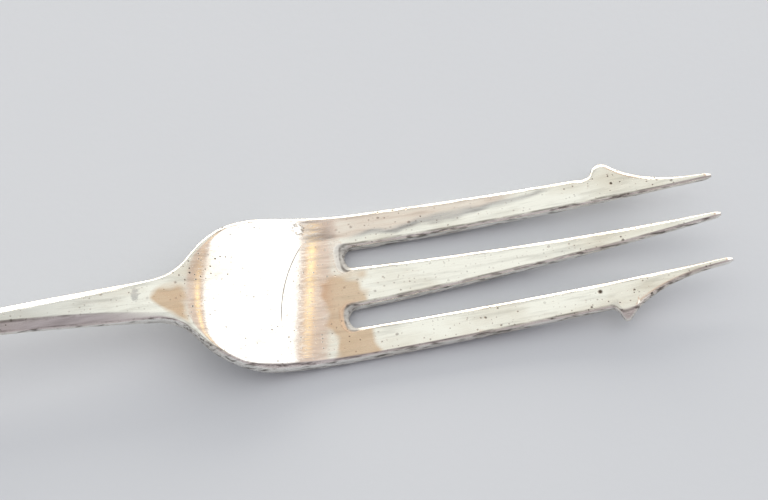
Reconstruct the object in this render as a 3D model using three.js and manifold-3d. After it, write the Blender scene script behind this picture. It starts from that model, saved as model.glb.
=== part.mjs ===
// Fish fork: a plated nickel silver fork with barbed outer tines, pinned and cemented into a bone handle.
// Millimetres. +X runs from the handle to the tips, +Z is up, and the fork lies face up on Z = 0.
// The origin is under the middle of the whole fork. Left is +Y, looking along the fork towards its tips.

import * as THREE from "three";
import { mergeVertices } from "three/addons/utils/BufferGeometryUtils.js";
import Module from "manifold-3d";

const wasm = await Module();
wasm.setup();

// Lengths along the fork
const HEAD_LENGTH = 65.7; // start of the shoulders to the tips
const TINE_LENGTH = 44; // end of the slots to the tips
const BARB_TO_TIP = 12.5; // point of a barb to the tip of its tine
const BARB_BACK = 1.7; // length of a barb's steep back
const BARB_FRONT = 4.3; // length over which a barb falls away to the slender tip
const BARB_BLUNT = 0.9; // length of a barb's rounded point
const STEM_LENGTH = 28; // bolster to the start of the shoulders
const STEM_TAPER = 18; // the stretch of stem that widens towards the shoulders
const NECK_BEND = 3; // the stretch where the stem bends down into the bowl
const BOLSTER_LENGTH = 5;
const COLLAR_LENGTH = 1.6; // straight rim of the bolster, against the ferrule
const TANG_LENGTH = 46;
const FERRULE_LENGTH = 12;
const BEAD_LENGTH = 1.5;
const HANDLE_LENGTH = 68; // ferrule to butt
const HANDLE_SHOULDER = 12; // the stretch where the handle's underside comes down to the table
const BUTT_LENGTH = 7; // rounded end of the handle
const PIN_FROM_FERRULE = 8;
const BORE_SPARE = 1.5; // depth of the bore beyond the tang

// Widths and radii in plan
const HEAD_WIDTH = 19.4;
const SHOULDER_RADIUS = 9.2;
const NECK_RADIUS = 6;
const NECK_WIDTH = 5.2;
const STEM_WIDTH = 3.7;
const STEM_BEVEL = 1.2; // width of the sloping flats beside the stem's top flat
const BARB_SPAN = 20.8; // point to point across both barbs
const BARB_ROOT_SPAN = 17.4; // across the outer tines just behind the barbs
const BARB_HOLLOW = 0.15; // how far the curve from barb to tip aims outside the tip's own edge
const TIP_WIDTH = 0.9;
const MIDDLE_TINE_ROOT = 5.3;
const SLOT_ROOT_WIDTH = 2.6;
const SLOT_CORNER = 0.8;
const TANG_ROOT_WIDTH = 3;
const TANG_TIP_WIDTH = 2;
const FERRULE_OVAL = 1.2; // the ferrule is this much wider than it is high
const FERRULE_FLARE = 1.4; // and grows by this much from front to rear
const BUTT_WIDTH = 14.4;

// Thicknesses and heights
const STEM_THICKNESS = 3;
const STEM_BEVEL_HEIGHT = 1;
const STEM_ARCH = 0.5; // rise of the stem's back above its ends
const NECK_THICKNESS = 2.6;
const TINE_THICKNESS = 1.6;
const TIP_THICKNESS = 0.9;
const TIP_RISE = 2.8; // the tips stand this far above the lowest point of the tines
const EDGE_ROUND = 0.72; // rounding of the head's edges
const TANG_ROOT_HEIGHT = 2.6;
const TANG_TIP_HEIGHT = 1.8;
const CEMENT_WALL = 0.25; // least cement between the tang's corners and the bore
const SPIGOT_WALL = 0.8; // least bone between the bore and the ferrule
const FERRULE_WALL = 0.5;
const FERRULE_FACE = 0.8; // thickness of the front face
const FERRULE_EDGE = 0.4; // rounding of its rim
const BEAD_RISE = 0.35;
const HANDLE_SWELL = 0.5; // the handle stands this far above and below the ferrule's sleeve
const HANDLE_ROUND = 4; // width of the rounding along the handle's edges
const PIN_DIAMETER = 1.2;

// Fits
const CEMENT_LINE = 0.1; // film of cement between glued faces
const TANG_CLEARANCE = 0.2; // between the tang and the cement cast round it
const PIN_CLEARANCE = 0.1;
const PIN_SINK = 0.05; // the pin's ends stop this far below the handle's sides

// Forms, as powers and shares.
// A corner's power of 1 makes it an ellipse, 2 a straight bevel, and less than 1 squarer.
const BEVEL_POWER = 1.7;
const UNDERSIDE_POWER = 0.6;
const TANG_POWER = 0.35;
const TANG_FULLNESS = 0.8; // share of the tang's half width that its corners take
const OVAL_FULLNESS = 0.94; // the same share on an oval, which leaves a narrow flat above and below
const BOWL_SLOPE = 0.2; // fall of the bowl where it leaves the neck
const BOWL_EASE = 0.45; // share of the bowl's length over which it falls straight from the neck
const BOWL_LEVEL = 0.3; // share over which it levels out towards the slots
const BUTT_POWER = 2.4; // 2 would make the butt an ellipse, and more makes it blunter
const BUTT_END = 0.985; // share of the butt's dome that is left before its small end flat

// Facets
const STATION_STEP = 2; // along the fork and the handle
const STATION_MERGE = 0.02; // stations closer than this become one
const SLOPE_REACH = 0.5; // the side view's slope is taken over this far each way
const CORNER_STEPS = 4; // in each corner of a section
const CURVE_STEPS = 8; // in each curve of an outline
const ROUND_SIDES = 24; // round a bore or a pin
const TIP_STEPS = 4; // in each quarter of a tine's tip
const EDGE_STEPS = 3; // in the rounded edge of a slot
const EDGE_SWEEP = 75; // degrees of that rounding, which then runs on straight
const EDGE_OVERRUN = 1.02; // to this share of the half thickness
const TIP_OVERLAP = 10; // degrees by which the two slots overlap round the middle tip
const CUT_MARGIN = 3; // cutters run this far past what they cut
const WELD_DISTANCE = 1e-5;

// Places along X, counted from the bolster's seat on the ferrule
const neckX = BOLSTER_LENGTH + STEM_LENGTH;
const tipX = neckX + HEAD_LENGTH;
const slotX = tipX - TINE_LENGTH;
const barbX = tipX - BARB_TO_TIP;
const ferruleFrontX = -CEMENT_LINE;
const ferruleRearX = ferruleFrontX - FERRULE_LENGTH;
const spigotFrontX = ferruleFrontX - FERRULE_FACE - CEMENT_LINE;
const handleFrontX = ferruleRearX - CEMENT_LINE;
const buttX = handleFrontX - HANDLE_LENGTH;
const boreEndX = -TANG_LENGTH - BORE_SPARE;
const pinX = ferruleRearX - PIN_FROM_FERRULE;
const middleX = (tipX + buttX) / 2;

// The tang sets the bore, the bore the ferrule round it, and the ferrule the handle
const tangDiagonal = Math.hypot(TANG_ROOT_WIDTH, TANG_ROOT_HEIGHT);
const boreDiameter = tangDiagonal + 2 * (TANG_CLEARANCE + CEMENT_WALL + CEMENT_LINE);
const ferruleFrontHeight = boreDiameter + 2 * (SPIGOT_WALL + CEMENT_LINE + FERRULE_WALL);
const ferruleFrontWidth = ferruleFrontHeight + FERRULE_OVAL;
const ferruleRearHeight = ferruleFrontHeight + FERRULE_FLARE;
const ferruleRearWidth = ferruleFrontWidth + FERRULE_FLARE;
const handleHeight = ferruleRearHeight + 2 * HANDLE_SWELL;

// Heights and places across the fork
const axisZ = handleHeight / 2; // stem, tang and handle share this axis
const lowZ = TINE_THICKNESS / 2; // middle surface of the tines where they touch the table
const slotOuterY = MIDDLE_TINE_ROOT / 2 + SLOT_ROOT_WIDTH; // inner edge of an outer tine
const outerTipY = slotOuterY + TIP_WIDTH;

const LEFT = 1;
const RIGHT = -1;

const { degToRad, lerp, smoothstep } = THREE.MathUtils;

// Even steps from one place to another, both included
function steps(from, to, step) {
  const count = Math.max(1, Math.round(Math.abs(to - from) / step));
  return Array.from({ length: count + 1 }, (_, i) => lerp(from, to, i / count));
}

// Height of a line of points above x, for points in order of x
function heightAt(points, x) {
  const next = points.findIndex((p) => p.x >= x);
  if (next === 0) return points[0].y;
  if (next < 0) return points.at(-1).y;
  const a = points[next - 1];
  const b = points[next];
  return lerp(a.y, b.y, (x - a.x) / (b.x - a.x));
}

// Outer edge of the stem and head: parallel stem, neck and shoulder arcs, tapering tine, barb and tip
function headEdge() {
  const half = HEAD_WIDTH / 2;
  const neck = NECK_WIDTH / 2;
  const radii = NECK_RADIUS + SHOULDER_RADIUS;
  const flare = half - neck;
  const run = Math.sqrt(flare * (2 * radii - flare)); // between the centres of the two tangent arcs
  const meet = Math.atan2(flare - radii, run);
  const rootX = barbX - BARB_BACK;
  const root = BARB_ROOT_SPAN / 2;
  const crest = BARB_BLUNT / 2; // half the rounded point, which falls by half of this at its ends
  const point = BARB_SPAN / 2;
  const edge = new THREE.Path();
  edge.moveTo(BOLSTER_LENGTH, STEM_WIDTH / 2);
  edge.lineTo(neckX - STEM_TAPER, STEM_WIDTH / 2);
  edge.lineTo(neckX, neck);
  edge.absarc(neckX, neck + NECK_RADIUS, NECK_RADIUS, -Math.PI / 2, meet, false);
  edge.absarc(neckX + run, half - SHOULDER_RADIUS, SHOULDER_RADIUS, meet + Math.PI, Math.PI / 2, true);
  edge.lineTo(rootX, root);
  edge.quadraticCurveTo(rootX + BARB_BACK / 2, root, barbX - crest, point - crest / 2);
  edge.quadraticCurveTo(barbX, point + crest / 2, barbX + crest, point - crest / 2);
  edge.quadraticCurveTo(barbX + BARB_FRONT, outerTipY + BARB_HOLLOW, tipX, outerTipY);
  edge.lineTo(tipX + CUT_MARGIN, outerTipY);
  return edge.getPoints(CURVE_STEPS);
}

// Side view of the middle surface: straight tang, arched stem, step down through the bowl, rising tines
function sideView() {
  const crownPull = 9 / 4; // a cubic with one raised control reaches 4/9 of its height
  const archX = BOLSTER_LENGTH + STEM_LENGTH / 3;
  const bendZ = axisZ + BOWL_SLOPE * NECK_BEND;
  const bowlLength = slotX - neckX;
  const fall = BOWL_EASE * bowlLength;
  const levelX = slotX - BOWL_LEVEL * bowlLength;
  const tipSlope = (2 * TIP_RISE) / TINE_LENGTH;
  const past = 2 * CUT_MARGIN;
  const side = new THREE.Path();
  side.moveTo(-TANG_LENGTH, axisZ);
  side.lineTo(BOLSTER_LENGTH, axisZ);
  side.bezierCurveTo(archX, axisZ + crownPull * STEM_ARCH, neckX - NECK_BEND, bendZ, neckX, axisZ);
  side.bezierCurveTo(neckX + fall, axisZ - BOWL_SLOPE * fall, levelX, lowZ, slotX, lowZ);
  side.quadraticCurveTo((slotX + tipX) / 2, lowZ, tipX, lowZ + TIP_RISE);
  side.lineTo(tipX + past, lowZ + TIP_RISE + tipSlope * past);
  return side.getPoints(3 * CURVE_STEPS);
}

const edge = headEdge();
const middleSurface = sideView();

// A point of the fork: x along it, y across it and n off its middle surface
function onFork(x, y, n) {
  const rise = heightAt(middleSurface, x + SLOPE_REACH) - heightAt(middleSurface, x - SLOPE_REACH);
  const slope = rise / (2 * SLOPE_REACH);
  const length = Math.hypot(1, slope);
  return new THREE.Vector3(x - (n * slope) / length, y, heightAt(middleSurface, x) + n / length);
}

function forkThickness(x) {
  const neck = lerp(STEM_THICKNESS, NECK_THICKNESS, smoothstep(x, neckX - STEM_TAPER, neckX));
  const bowl = lerp(neck, TINE_THICKNESS, smoothstep(x, neckX, slotX));
  return lerp(bowl, TIP_THICKNESS, smoothstep(x, slotX, tipX));
}

// 0 on the bevelled stem and 1 on the head, whose edges are evenly round
const stemToHead = (x) => smoothstep(x, neckX - STEM_TAPER / 2, neckX + NECK_RADIUS);

// Width of the rounding along the head's edges, which becomes the wide bevels of the stem
function edgeRound(x) {
  const tipRound = Math.min((EDGE_ROUND * TIP_THICKNESS) / TINE_THICKNESS, (OVAL_FULLNESS * TIP_WIDTH) / 2);
  return lerp(lerp(STEM_BEVEL, EDGE_ROUND, stemToHead(x)), tipRound, smoothstep(x, slotX, tipX));
}

// Section across X, centred on Y = 0, as (y, z) points: flats above and below, and four shaped corners
// that meet at the waist. A rounding is limited to what the half width can hold.
function section({ half, top, bottom, waist = (top + bottom) / 2, round, power = 1, underPower = power }) {
  const curved = Math.min(round, OVAL_FULLNESS * half);
  const points = [];
  const corner = (side, end, shape, goesOut) => {
    for (let i = goesOut ? 0 : 1; i <= CORNER_STEPS; i++) {
      const share = goesOut ? i / CORNER_STEPS : 1 - i / CORNER_STEPS;
      const out = Math.sin((share * Math.PI) / 2) ** shape;
      const up = Math.max(0, Math.cos((share * Math.PI) / 2)) ** shape;
      points.push(new THREE.Vector2(side * (half - curved * (1 - out)), lerp(waist, end, up)));
    }
  };
  corner(LEFT, top, power, true);
  corner(LEFT, bottom, underPower, false);
  corner(RIGHT, bottom, underPower, true);
  corner(RIGHT, top, power, false);
  return points;
}

// Section on the axis of stem and handle, an oval unless its corners are given
function axisSection(width, height, corners = {}) {
  const half = width / 2;
  const top = axisZ + height / 2;
  return section({ half, top, bottom: top - height, round: OVAL_FULLNESS * half, ...corners });
}

const ring = (x, points) => points.map((p) => new THREE.Vector3(x, p.x, p.y));

// Closed solid through rings that all have the same number of points
function loft(rings, capTriangles = null) {
  const count = rings[0].length;
  const last = (rings.length - 1) * count;
  const indices = [];
  for (let start = 0; start < last; start += count) {
    for (let i = 0; i < count; i++) {
      const a = start + i;
      const b = start + ((i + 1) % count);
      indices.push(a, a + count, b, b, a + count, b + count);
    }
  }
  const fan = Array.from({ length: count - 2 }, (_, i) => [0, i + 1, i + 2]);
  for (const [a, b, c] of capTriangles ?? fan) {
    indices.push(a, b, c, last + a, last + c, last + b);
  }
  const points = rings.flat();
  const facesIn = signedVolume(points, indices) < 0;
  const geometry = new THREE.BufferGeometry().setFromPoints(points);
  geometry.setIndex(facesIn ? indices.reverse() : indices);
  return geometry;
}

function signedVolume(points, indices) {
  let sum = 0;
  for (let i = 0; i < indices.length; i += 3) {
    const [a, b, c] = [points[indices[i]], points[indices[i + 1]], points[indices[i + 2]]];
    sum += a.dot(b.clone().cross(c)) / 6;
  }
  return sum;
}

function toSolid(geometry) {
  const bare = geometry.clone();
  bare.deleteAttribute("normal");
  bare.deleteAttribute("uv");
  const merged = mergeVertices(bare, WELD_DISTANCE);
  return new wasm.Manifold(
    new wasm.Mesh({
      numProp: 3,
      vertProperties: new Float32Array(merged.attributes.position.array),
      triVerts: new Uint32Array(merged.index.array),
    }),
  );
}

function toGeometry(solid) {
  const { vertProperties, triVerts } = solid.getMesh();
  const geometry = new THREE.BufferGeometry();
  geometry.setAttribute("position", new THREE.Float32BufferAttribute(vertProperties, 3));
  geometry.setIndex(new THREE.Uint32BufferAttribute(triVerts, 1));
  geometry.computeVertexNormals();
  return geometry;
}

function cut(geometry, ...cutters) {
  const solid = cutters.reduce((rest, cutter) => rest.subtract(toSolid(cutter)), toSolid(geometry));
  return toGeometry(solid);
}

function roundBar(fromX, toX, diameter) {
  const bar = new THREE.CylinderGeometry(diameter / 2, diameter / 2, toX - fromX, ROUND_SIDES);
  bar.rotateZ(Math.PI / 2);
  return bar.translate((fromX + toX) / 2, 0, axisZ);
}

function crossBar(diameter, length) {
  const bar = new THREE.CylinderGeometry(diameter / 2, diameter / 2, length, ROUND_SIDES);
  return bar.translate(pinX, 0, axisZ);
}

const pinHole = () => crossBar(PIN_DIAMETER + 2 * PIN_CLEARANCE, BUTT_WIDTH + 2 * CUT_MARGIN);

// Tang: a tapered square spike on the handle's axis, with a clearance all round where one is given
function tangRings(clearance = 0) {
  const at = (share) => {
    const width = lerp(TANG_TIP_WIDTH, TANG_ROOT_WIDTH, share) + 2 * clearance;
    const height = lerp(TANG_TIP_HEIGHT, TANG_ROOT_HEIGHT, share) + 2 * clearance;
    return axisSection(width, height, { round: (TANG_FULLNESS * width) / 2, power: TANG_POWER });
  };
  return [ring(-TANG_LENGTH - clearance, at(0)), ring(0, at(1))];
}

// Space for the tang, open at the bolster's end
function tangSpace(clearance) {
  const rings = tangRings(clearance);
  const mouth = rings.at(-1).map((p) => p.clone().setX(CUT_MARGIN));
  return loft([...rings, mouth]);
}

// Bolster: an oval rim against the ferrule, coved down to the stem
function bolsterRings() {
  const coveLength = BOLSTER_LENGTH - COLLAR_LENGTH;
  const rimEdge = COLLAR_LENGTH / 4;
  const coveWidth = ferruleFrontWidth - 2 * rimEdge;
  const coveHeight = ferruleFrontHeight - 2 * rimEdge;
  const waistRise = STEM_THICKNESS / 2 - STEM_BEVEL_HEIGHT;
  const rim = (x, inset) =>
    ring(x, axisSection(ferruleFrontWidth - 2 * inset, ferruleFrontHeight - 2 * inset));
  const cove = steps(0, 1, 1 / CORNER_STEPS).map((share) => {
    const narrowing = Math.sin((share * Math.PI) / 2);
    const corners = {
      waist: axisZ + waistRise * narrowing,
      round: lerp((OVAL_FULLNESS * coveWidth) / 2, STEM_BEVEL, narrowing),
      power: lerp(1, BEVEL_POWER, narrowing),
      underPower: lerp(1, UNDERSIDE_POWER, narrowing),
    };
    const width = lerp(coveWidth, STEM_WIDTH, narrowing);
    const height = lerp(coveHeight, STEM_THICKNESS, narrowing);
    return ring(COLLAR_LENGTH + share * coveLength, axisSection(width, height, corners));
  });
  return [rim(0, rimEdge), rim(rimEdge, 0), rim(COLLAR_LENGTH - rimEdge, 0), ...cove];
}

// Section of the stem and head before the slots are cut
function blankRing(x) {
  const top = forkThickness(x) / 2;
  const points = section({
    half: heightAt(edge, x),
    top,
    bottom: -top,
    waist: lerp(top - STEM_BEVEL_HEIGHT, 0, stemToHead(x)),
    round: edgeRound(x),
    power: lerp(BEVEL_POWER, 1, stemToHead(x)),
    underPower: lerp(UNDERSIDE_POWER, 1, stemToHead(x)),
  });
  return points.map((p) => onFork(x, p.x, p.y));
}

// Stem and head as one bar, with a section at every step and at every point of the outline
function blankRings() {
  const endX = tipX + TIP_WIDTH;
  const places = [...edge.map((p) => p.x), ...steps(BOLSTER_LENGTH, endX, STATION_STEP)];
  const wanted = places.filter((x) => x > BOLSTER_LENGTH && x <= endX).sort((a, b) => a - b);
  const stations = wanted.filter((x, i) => i === 0 || x - wanted[i - 1] > STATION_MERGE);
  return stations.map(blankRing);
}

const middleHalf = (x) => lerp(MIDDLE_TINE_ROOT, TIP_WIDTH, (x - slotX) / TINE_LENGTH) / 2;

// Outline of one slot in plan, which also trims the tips round.
// Flare widens it by a share of the edge rounding.
function slotOutline(side, flare) {
  const points = [];
  const add = (x, y) => points.push(new THREE.Vector2(x, side * y));
  const arc = (x, y, radius, from, to, count) => {
    for (const degrees of steps(from, to, Math.abs(to - from) / count)) {
      add(x + radius * Math.cos(degToRad(degrees)), y + radius * Math.sin(degToRad(degrees)));
    }
  };
  const widen = (x) => flare * edgeRound(x);
  const cornerX = slotX + SLOT_CORNER;
  const cornerRadius = SLOT_CORNER + widen(slotX);
  const tipRadius = TIP_WIDTH / 2;
  const tipEnd = tipX - tipRadius;
  const trimmed = tipRadius - widen(tipX);
  const openX = tipX + CUT_MARGIN;
  const clearY = outerTipY + CUT_MARGIN;

  arc(cornerX, slotOuterY - SLOT_CORNER, cornerRadius, 90, 180, CORNER_STEPS);
  arc(cornerX, middleHalf(slotX) + SLOT_CORNER, cornerRadius, 180, 270, CORNER_STEPS);
  for (const x of steps(cornerX, tipEnd, STATION_STEP).slice(1, -1)) {
    add(x, middleHalf(x) - widen(x));
  }
  arc(tipEnd, 0, trimmed, 90, -TIP_OVERLAP, TIP_STEPS);
  add(openX, -trimmed);
  add(openX, clearY);
  add(tipEnd, clearY);
  arc(tipEnd, slotOuterY + tipRadius, trimmed, 90, -90, 2 * TIP_STEPS);
  for (const x of steps(tipEnd, cornerX, STATION_STEP).slice(1, -1)) {
    add(x, slotOuterY + widen(x));
  }
  return side === LEFT ? points : points.reverse();
}

// Cutter for one slot, bent to the fork and flared above and below so that it leaves rounded tine edges
function slotCutter(side) {
  const rising = steps(0, EDGE_SWEEP, EDGE_SWEEP / EDGE_STEPS).map((degrees) => {
    const angle = degToRad(degrees);
    return { n: Math.sin(angle), flare: 1 - Math.cos(angle) };
  });
  const { n, flare } = rising.at(-1);
  rising.push({ n: EDGE_OVERRUN, flare: flare + (EDGE_OVERRUN - n) * Math.tan(degToRad(EDGE_SWEEP)) });
  const falling = rising.slice(1).reverse().map((level) => ({ ...level, n: -level.n }));
  const rings = [...falling, ...rising].map((level) =>
    slotOutline(side, level.flare).map((p) => onFork(p.x, p.y, (level.n * forkThickness(p.x)) / 2)),
  );
  const mouth = slotOutline(side, rising.at(-1).flare);
  const mouthAt = (height) => mouth.map((p) => onFork(p.x, p.y, height));
  const cap = THREE.ShapeUtils.triangulateShape(slotOutline(side, 0), []);
  return loft([mouthAt(-CUT_MARGIN), ...rings, mouthAt(CUT_MARGIN)], cap);
}

function forkHead() {
  const blank = loft([...tangRings(), ...bolsterRings(), ...blankRings()]);
  return cut(blank, slotCutter(LEFT), slotCutter(RIGHT), pinHole());
}

// Outside of the ferrule's sleeve at a place along it, or its inside with an inset
function ferruleSection(x, inset = 0) {
  const share = (x - ferruleRearX) / FERRULE_LENGTH;
  const width = lerp(ferruleRearWidth, ferruleFrontWidth, share) - 2 * inset;
  const height = lerp(ferruleRearHeight, ferruleFrontHeight, share) - 2 * inset;
  return ring(x, axisSection(width, height));
}

function ferrule() {
  const bead = steps(0, 1, 1 / (2 * CORNER_STEPS)).map((share) =>
    ferruleSection(ferruleRearX + share * BEAD_LENGTH, -BEAD_RISE * Math.sin(share * Math.PI)),
  );
  const rim = steps(0, 90, 90 / CORNER_STEPS).map((degrees) => {
    const x = ferruleFrontX - FERRULE_EDGE * (1 - Math.sin(degToRad(degrees)));
    return ferruleSection(x, FERRULE_EDGE * (1 - Math.cos(degToRad(degrees))));
  });
  const cavityEnds = [ferruleRearX - CUT_MARGIN, ferruleFrontX - FERRULE_FACE];
  const cavity = cavityEnds.map((x) => ferruleSection(x, FERRULE_WALL));
  return cut(loft([...bead, ...rim]), loft(cavity), tangSpace(CEMENT_LINE));
}

// Body of the handle: widens to the butt, comes down to the table on a flat underside, and ends in a dome
function handleHalfWidth(x) {
  const share = (handleFrontX - x) / HANDLE_LENGTH;
  return lerp(ferruleRearWidth, BUTT_WIDTH, Math.sin((share * Math.PI) / 2)) / 2;
}

function handleRing(x) {
  const seated = smoothstep(handleFrontX - x, 0, HANDLE_SHOULDER);
  const reach = Math.max(0, (buttX + BUTT_LENGTH - x) / BUTT_LENGTH);
  const dome = (1 - Math.min(reach, BUTT_END) ** BUTT_POWER) ** (1 / BUTT_POWER);
  const height = lerp(ferruleRearHeight, handleHeight, seated) * dome;
  const half = handleHalfWidth(x) * dome;
  return ring(x, axisSection(2 * half, height, { round: lerp(half, HANDLE_ROUND * dome, seated) }));
}

function handle() {
  const butt = steps(0, 1, 1 / (2 * CORNER_STEPS)).map((share) => {
    const x = buttX + BUTT_LENGTH * (1 - Math.cos((share * Math.PI) / 2));
    return handleRing(x);
  });
  const body = steps(buttX + BUTT_LENGTH, handleFrontX, 2 * STATION_STEP).slice(1).map(handleRing);
  const spigot = [handleFrontX, spigotFrontX].map((x) => ferruleSection(x, FERRULE_WALL + CEMENT_LINE));
  const bore = roundBar(boreEndX, CUT_MARGIN, boreDiameter);
  return cut(loft([...butt, ...body, ...spigot]), bore, pinHole());
}

function tangCement() {
  const fill = roundBar(boreEndX + CEMENT_LINE, spigotFrontX, boreDiameter - 2 * CEMENT_LINE);
  return cut(fill, tangSpace(TANG_CLEARANCE), pinHole());
}

function tangPin() {
  return crossBar(PIN_DIAMETER, 2 * (handleHalfWidth(pinX) - PIN_SINK));
}

function piece(name, geometry, color, metalness, roughness) {
  const mesh = new THREE.Mesh(geometry, new THREE.MeshStandardMaterial({ color, metalness, roughness }));
  mesh.name = name;
  return mesh;
}

const fork = new THREE.Group();
fork.add(
  piece("fork_head", forkHead(), "#d9d3c4", 1, 0.25),
  piece("ferrule", ferrule(), "#d9d3c4", 1, 0.25),
  piece("handle", handle(), "#e8dcc0", 0, 0.4),
  piece("tang_cement", tangCement(), "#5a3b2c", 0, 0.8),
  piece("tang_pin", tangPin(), "#b9b2a2", 1, 0.35),
);
fork.position.x = -middleX;

export default fork;
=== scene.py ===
"""A plated fish fork with a bone handle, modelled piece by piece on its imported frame.

The fork head is one stamping, so its mesh starts as a flat grid that is slotted, given a
thickness and bent. The ferrule, the handle and the pin are drawn out ring by ring.
"""
import math
from collections import namedtuple

import bmesh
import bpy
from bpy.props import FloatProperty, FloatVectorProperty, PointerProperty
from bpy.types import Operator, Panel, PropertyGroup
from mathutils import Matrix, Vector
from mathutils.geometry import interpolate_bezier


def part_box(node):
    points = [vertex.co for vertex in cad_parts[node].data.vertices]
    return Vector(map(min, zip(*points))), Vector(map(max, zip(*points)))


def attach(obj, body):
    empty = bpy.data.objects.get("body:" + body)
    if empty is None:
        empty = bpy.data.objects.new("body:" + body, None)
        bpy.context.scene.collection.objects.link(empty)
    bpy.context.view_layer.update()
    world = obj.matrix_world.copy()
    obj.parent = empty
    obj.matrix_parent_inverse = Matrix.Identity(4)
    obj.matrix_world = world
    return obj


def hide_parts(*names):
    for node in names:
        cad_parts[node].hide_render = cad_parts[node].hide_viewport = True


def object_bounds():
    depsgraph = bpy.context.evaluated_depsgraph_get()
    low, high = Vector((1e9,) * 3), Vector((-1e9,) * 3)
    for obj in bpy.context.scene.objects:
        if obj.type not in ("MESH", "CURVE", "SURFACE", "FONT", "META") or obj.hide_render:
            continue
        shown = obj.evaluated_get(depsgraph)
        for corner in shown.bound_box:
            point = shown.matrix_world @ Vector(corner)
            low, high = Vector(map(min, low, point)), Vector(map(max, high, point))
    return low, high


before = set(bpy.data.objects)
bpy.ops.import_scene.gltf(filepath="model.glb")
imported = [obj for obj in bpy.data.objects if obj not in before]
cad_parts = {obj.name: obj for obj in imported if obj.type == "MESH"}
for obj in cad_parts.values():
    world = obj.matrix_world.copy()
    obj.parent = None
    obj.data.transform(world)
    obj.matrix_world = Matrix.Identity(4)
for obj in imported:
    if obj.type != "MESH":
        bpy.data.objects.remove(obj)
CAD_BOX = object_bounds()

bl_info = {
    "name": "Fish fork",
    "version": (1, 0, 0),
    "blender": (4, 5, 0),
    "location": "View3D > Sidebar > Fish fork",
    "description": "Builds a plated fish fork with a bone handle on its packed frame",
    "category": "Object",
}

MM = 0.001
LEFT, RIGHT = 1, -1
TOP, UNDERSIDE = 1, -1
BODY = "root"

# The grid of the stamping: 16 strips across, their lines counted from the left edge
# A line's rank is its count from the nearer edge
LINES = 16
MIDDLE_LINE = LINES // 2
SLOT_RANKS = (4, 5, 6)
FLAT_RANK = 4
CREASE_LINE = LINES - 3
FAR_EDGE_LINES = (0, 1)
FAR_SLOT_LINES = (MIDDLE_LINE - 2, MIDDLE_LINE - 1, LINES - 4, LINES - 3)
CURVE_STEPS = 16
SMOOTH_LEVELS = 2

# Steps between the grid's columns, from the bolster to the tips
COLLAR_STEP, COVE_STEP, STEM_STEP = 0.4 * MM, 0.5 * MM, 1.5 * MM
TAPER_STEP, BOWL_STEP, TINE_STEP = 1.2 * MM, 0.85 * MM, 1.1 * MM
BARB_STEP, POINT_STEP, TIP_STEP = 0.22 * MM, 0.8 * MM, 0.17 * MM

# Shape of the shoulders, barbs and edges
NECK_RADIUS = 6 * MM
SHOULDER_RADII = {LEFT: 12 * MM, RIGHT: 9.2 * MM}
STEM_TAPER = 18 * MM
BARB_BACK = 1.7 * MM
BARB_FRONT = 4.3 * MM
BARB_SLACK = 0.3 * MM
BARB_FINE = 2.2 * MM
SLOT_BEVEL = 0.5 * MM
SLOT_CORNER = 0.75 * MM
# Edges that face left are rubbed rounder than those that face right
EDGE_LIPS = {LEFT: 0.6 * MM, RIGHT: 0.35 * MM}
EDGE_CREASE = 0.38
EDGE_DROPS = {TOP: 0.22 * MM, UNDERSIDE: 0.4 * MM}
LIP_SHARE = 0.3
TIP_ROUND = 1.0 * MM
# Painted shade: the stem's near crease gets this edge wear value, so that a dark line is painted along
# it
TIP_LEAST = 0.55
CREASE_SHADE = 0.29
STEM_RIDGE = 0.12 * MM
BEVEL_SHARES = (0.25, 0.6)
UNDERSIDE_ROUND = 0.9 * MM
STEM_ARCH = 0.5 * MM
# A curve with one raised handle rises 4/9 as high as that handle
ARCH_PULL = 9 / 4
NECK_BEND = 3 * MM
NECK_SLOPE = 0.06
NECK_DROP = 0.35 * MM
NECK_STRAIGHT = 3.75 * MM
NECK_TURN = 4 * MM
NECK_THINS = 14 * MM
NECK_BOW = 0.04 / MM
ROOT_TURN = 7.4 * MM
BOWL_DISH = 0.12
ROOT_SKEW = 0.155
ROOT_SKEW_RISE = 13 * MM
RIM_EDGE = 0.4 * MM
OVAL_EDGE_ANGLE = math.radians(84)
SLOPE_REACH = 0.3 * MM

# The stem's bevels were filed by eye: the right one is flat and deep, the left one rounded
Bevel = namedtuple("Bevel", "drop power")
STEM_BEVELS = {LEFT: Bevel(0.45 * MM, 1.35), RIGHT: Bevel(0.85 * MM, 1.0)}

# Wear that is bent or knocked into the metal
Barb = namedtuple("Barb", "shift worn blunt hollow")
BARBS = {LEFT: Barb(0.3 * MM, 0.2 * MM, 2.1 * MM, 0.4 * MM),
         RIGHT: Barb(-0.3 * MM, 0.1 * MM, 0.9 * MM, 0.15 * MM)}
BARB_BEND_LINE = 9.05 * MM
BARB_BEND = 0.65 * MM
BARB_BEAD = 0.2 * MM
BARB_FOLD = 0.75
MIDDLE_TINE_LEAN = 0.42 * MM
SLOT_OFFSET = 0.3 * MM
# The slots' closed ends run back by unequal amounts
SLOT_STAGGER = {LEFT: -0.2 * MM, RIGHT: -0.65 * MM}
SLOT_STAGGER_REACH = 3 * MM
LEFT_NICK_X, LEFT_NICK_DEPTH, LEFT_NICK_LENGTH = 74.9 * MM, 0.16 * MM, 0.45 * MM
RIGHT_NICK_X, RIGHT_NICK_DEPTH, RIGHT_NICK_LENGTH = 82.6 * MM, 0.14 * MM, 0.4 * MM

# Round pieces
SPOKES = 96
PIN_SPOKES = 32
OVAL_FULLNESS = 0.94
TANG_HOLE_SHARE = 0.4
CEMENT_LINE = 0.1 * MM
BONE_RIM = 0.3 * MM
BUTT_POWER = 2.4
BUTT_STEPS = 14
HANDLE_STEPS = 30
BEAD_STEPS = 8
RIM_STEPS = 4
PIN_PROUD = 0.05 * MM
# Rings of the pin's domed ends: height in steps of PIN_PROUD, and share of the radius
PIN_DOME = ((2, 0.05), (2, 0.45), (1, 0.85), (0, 1.0))
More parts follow.
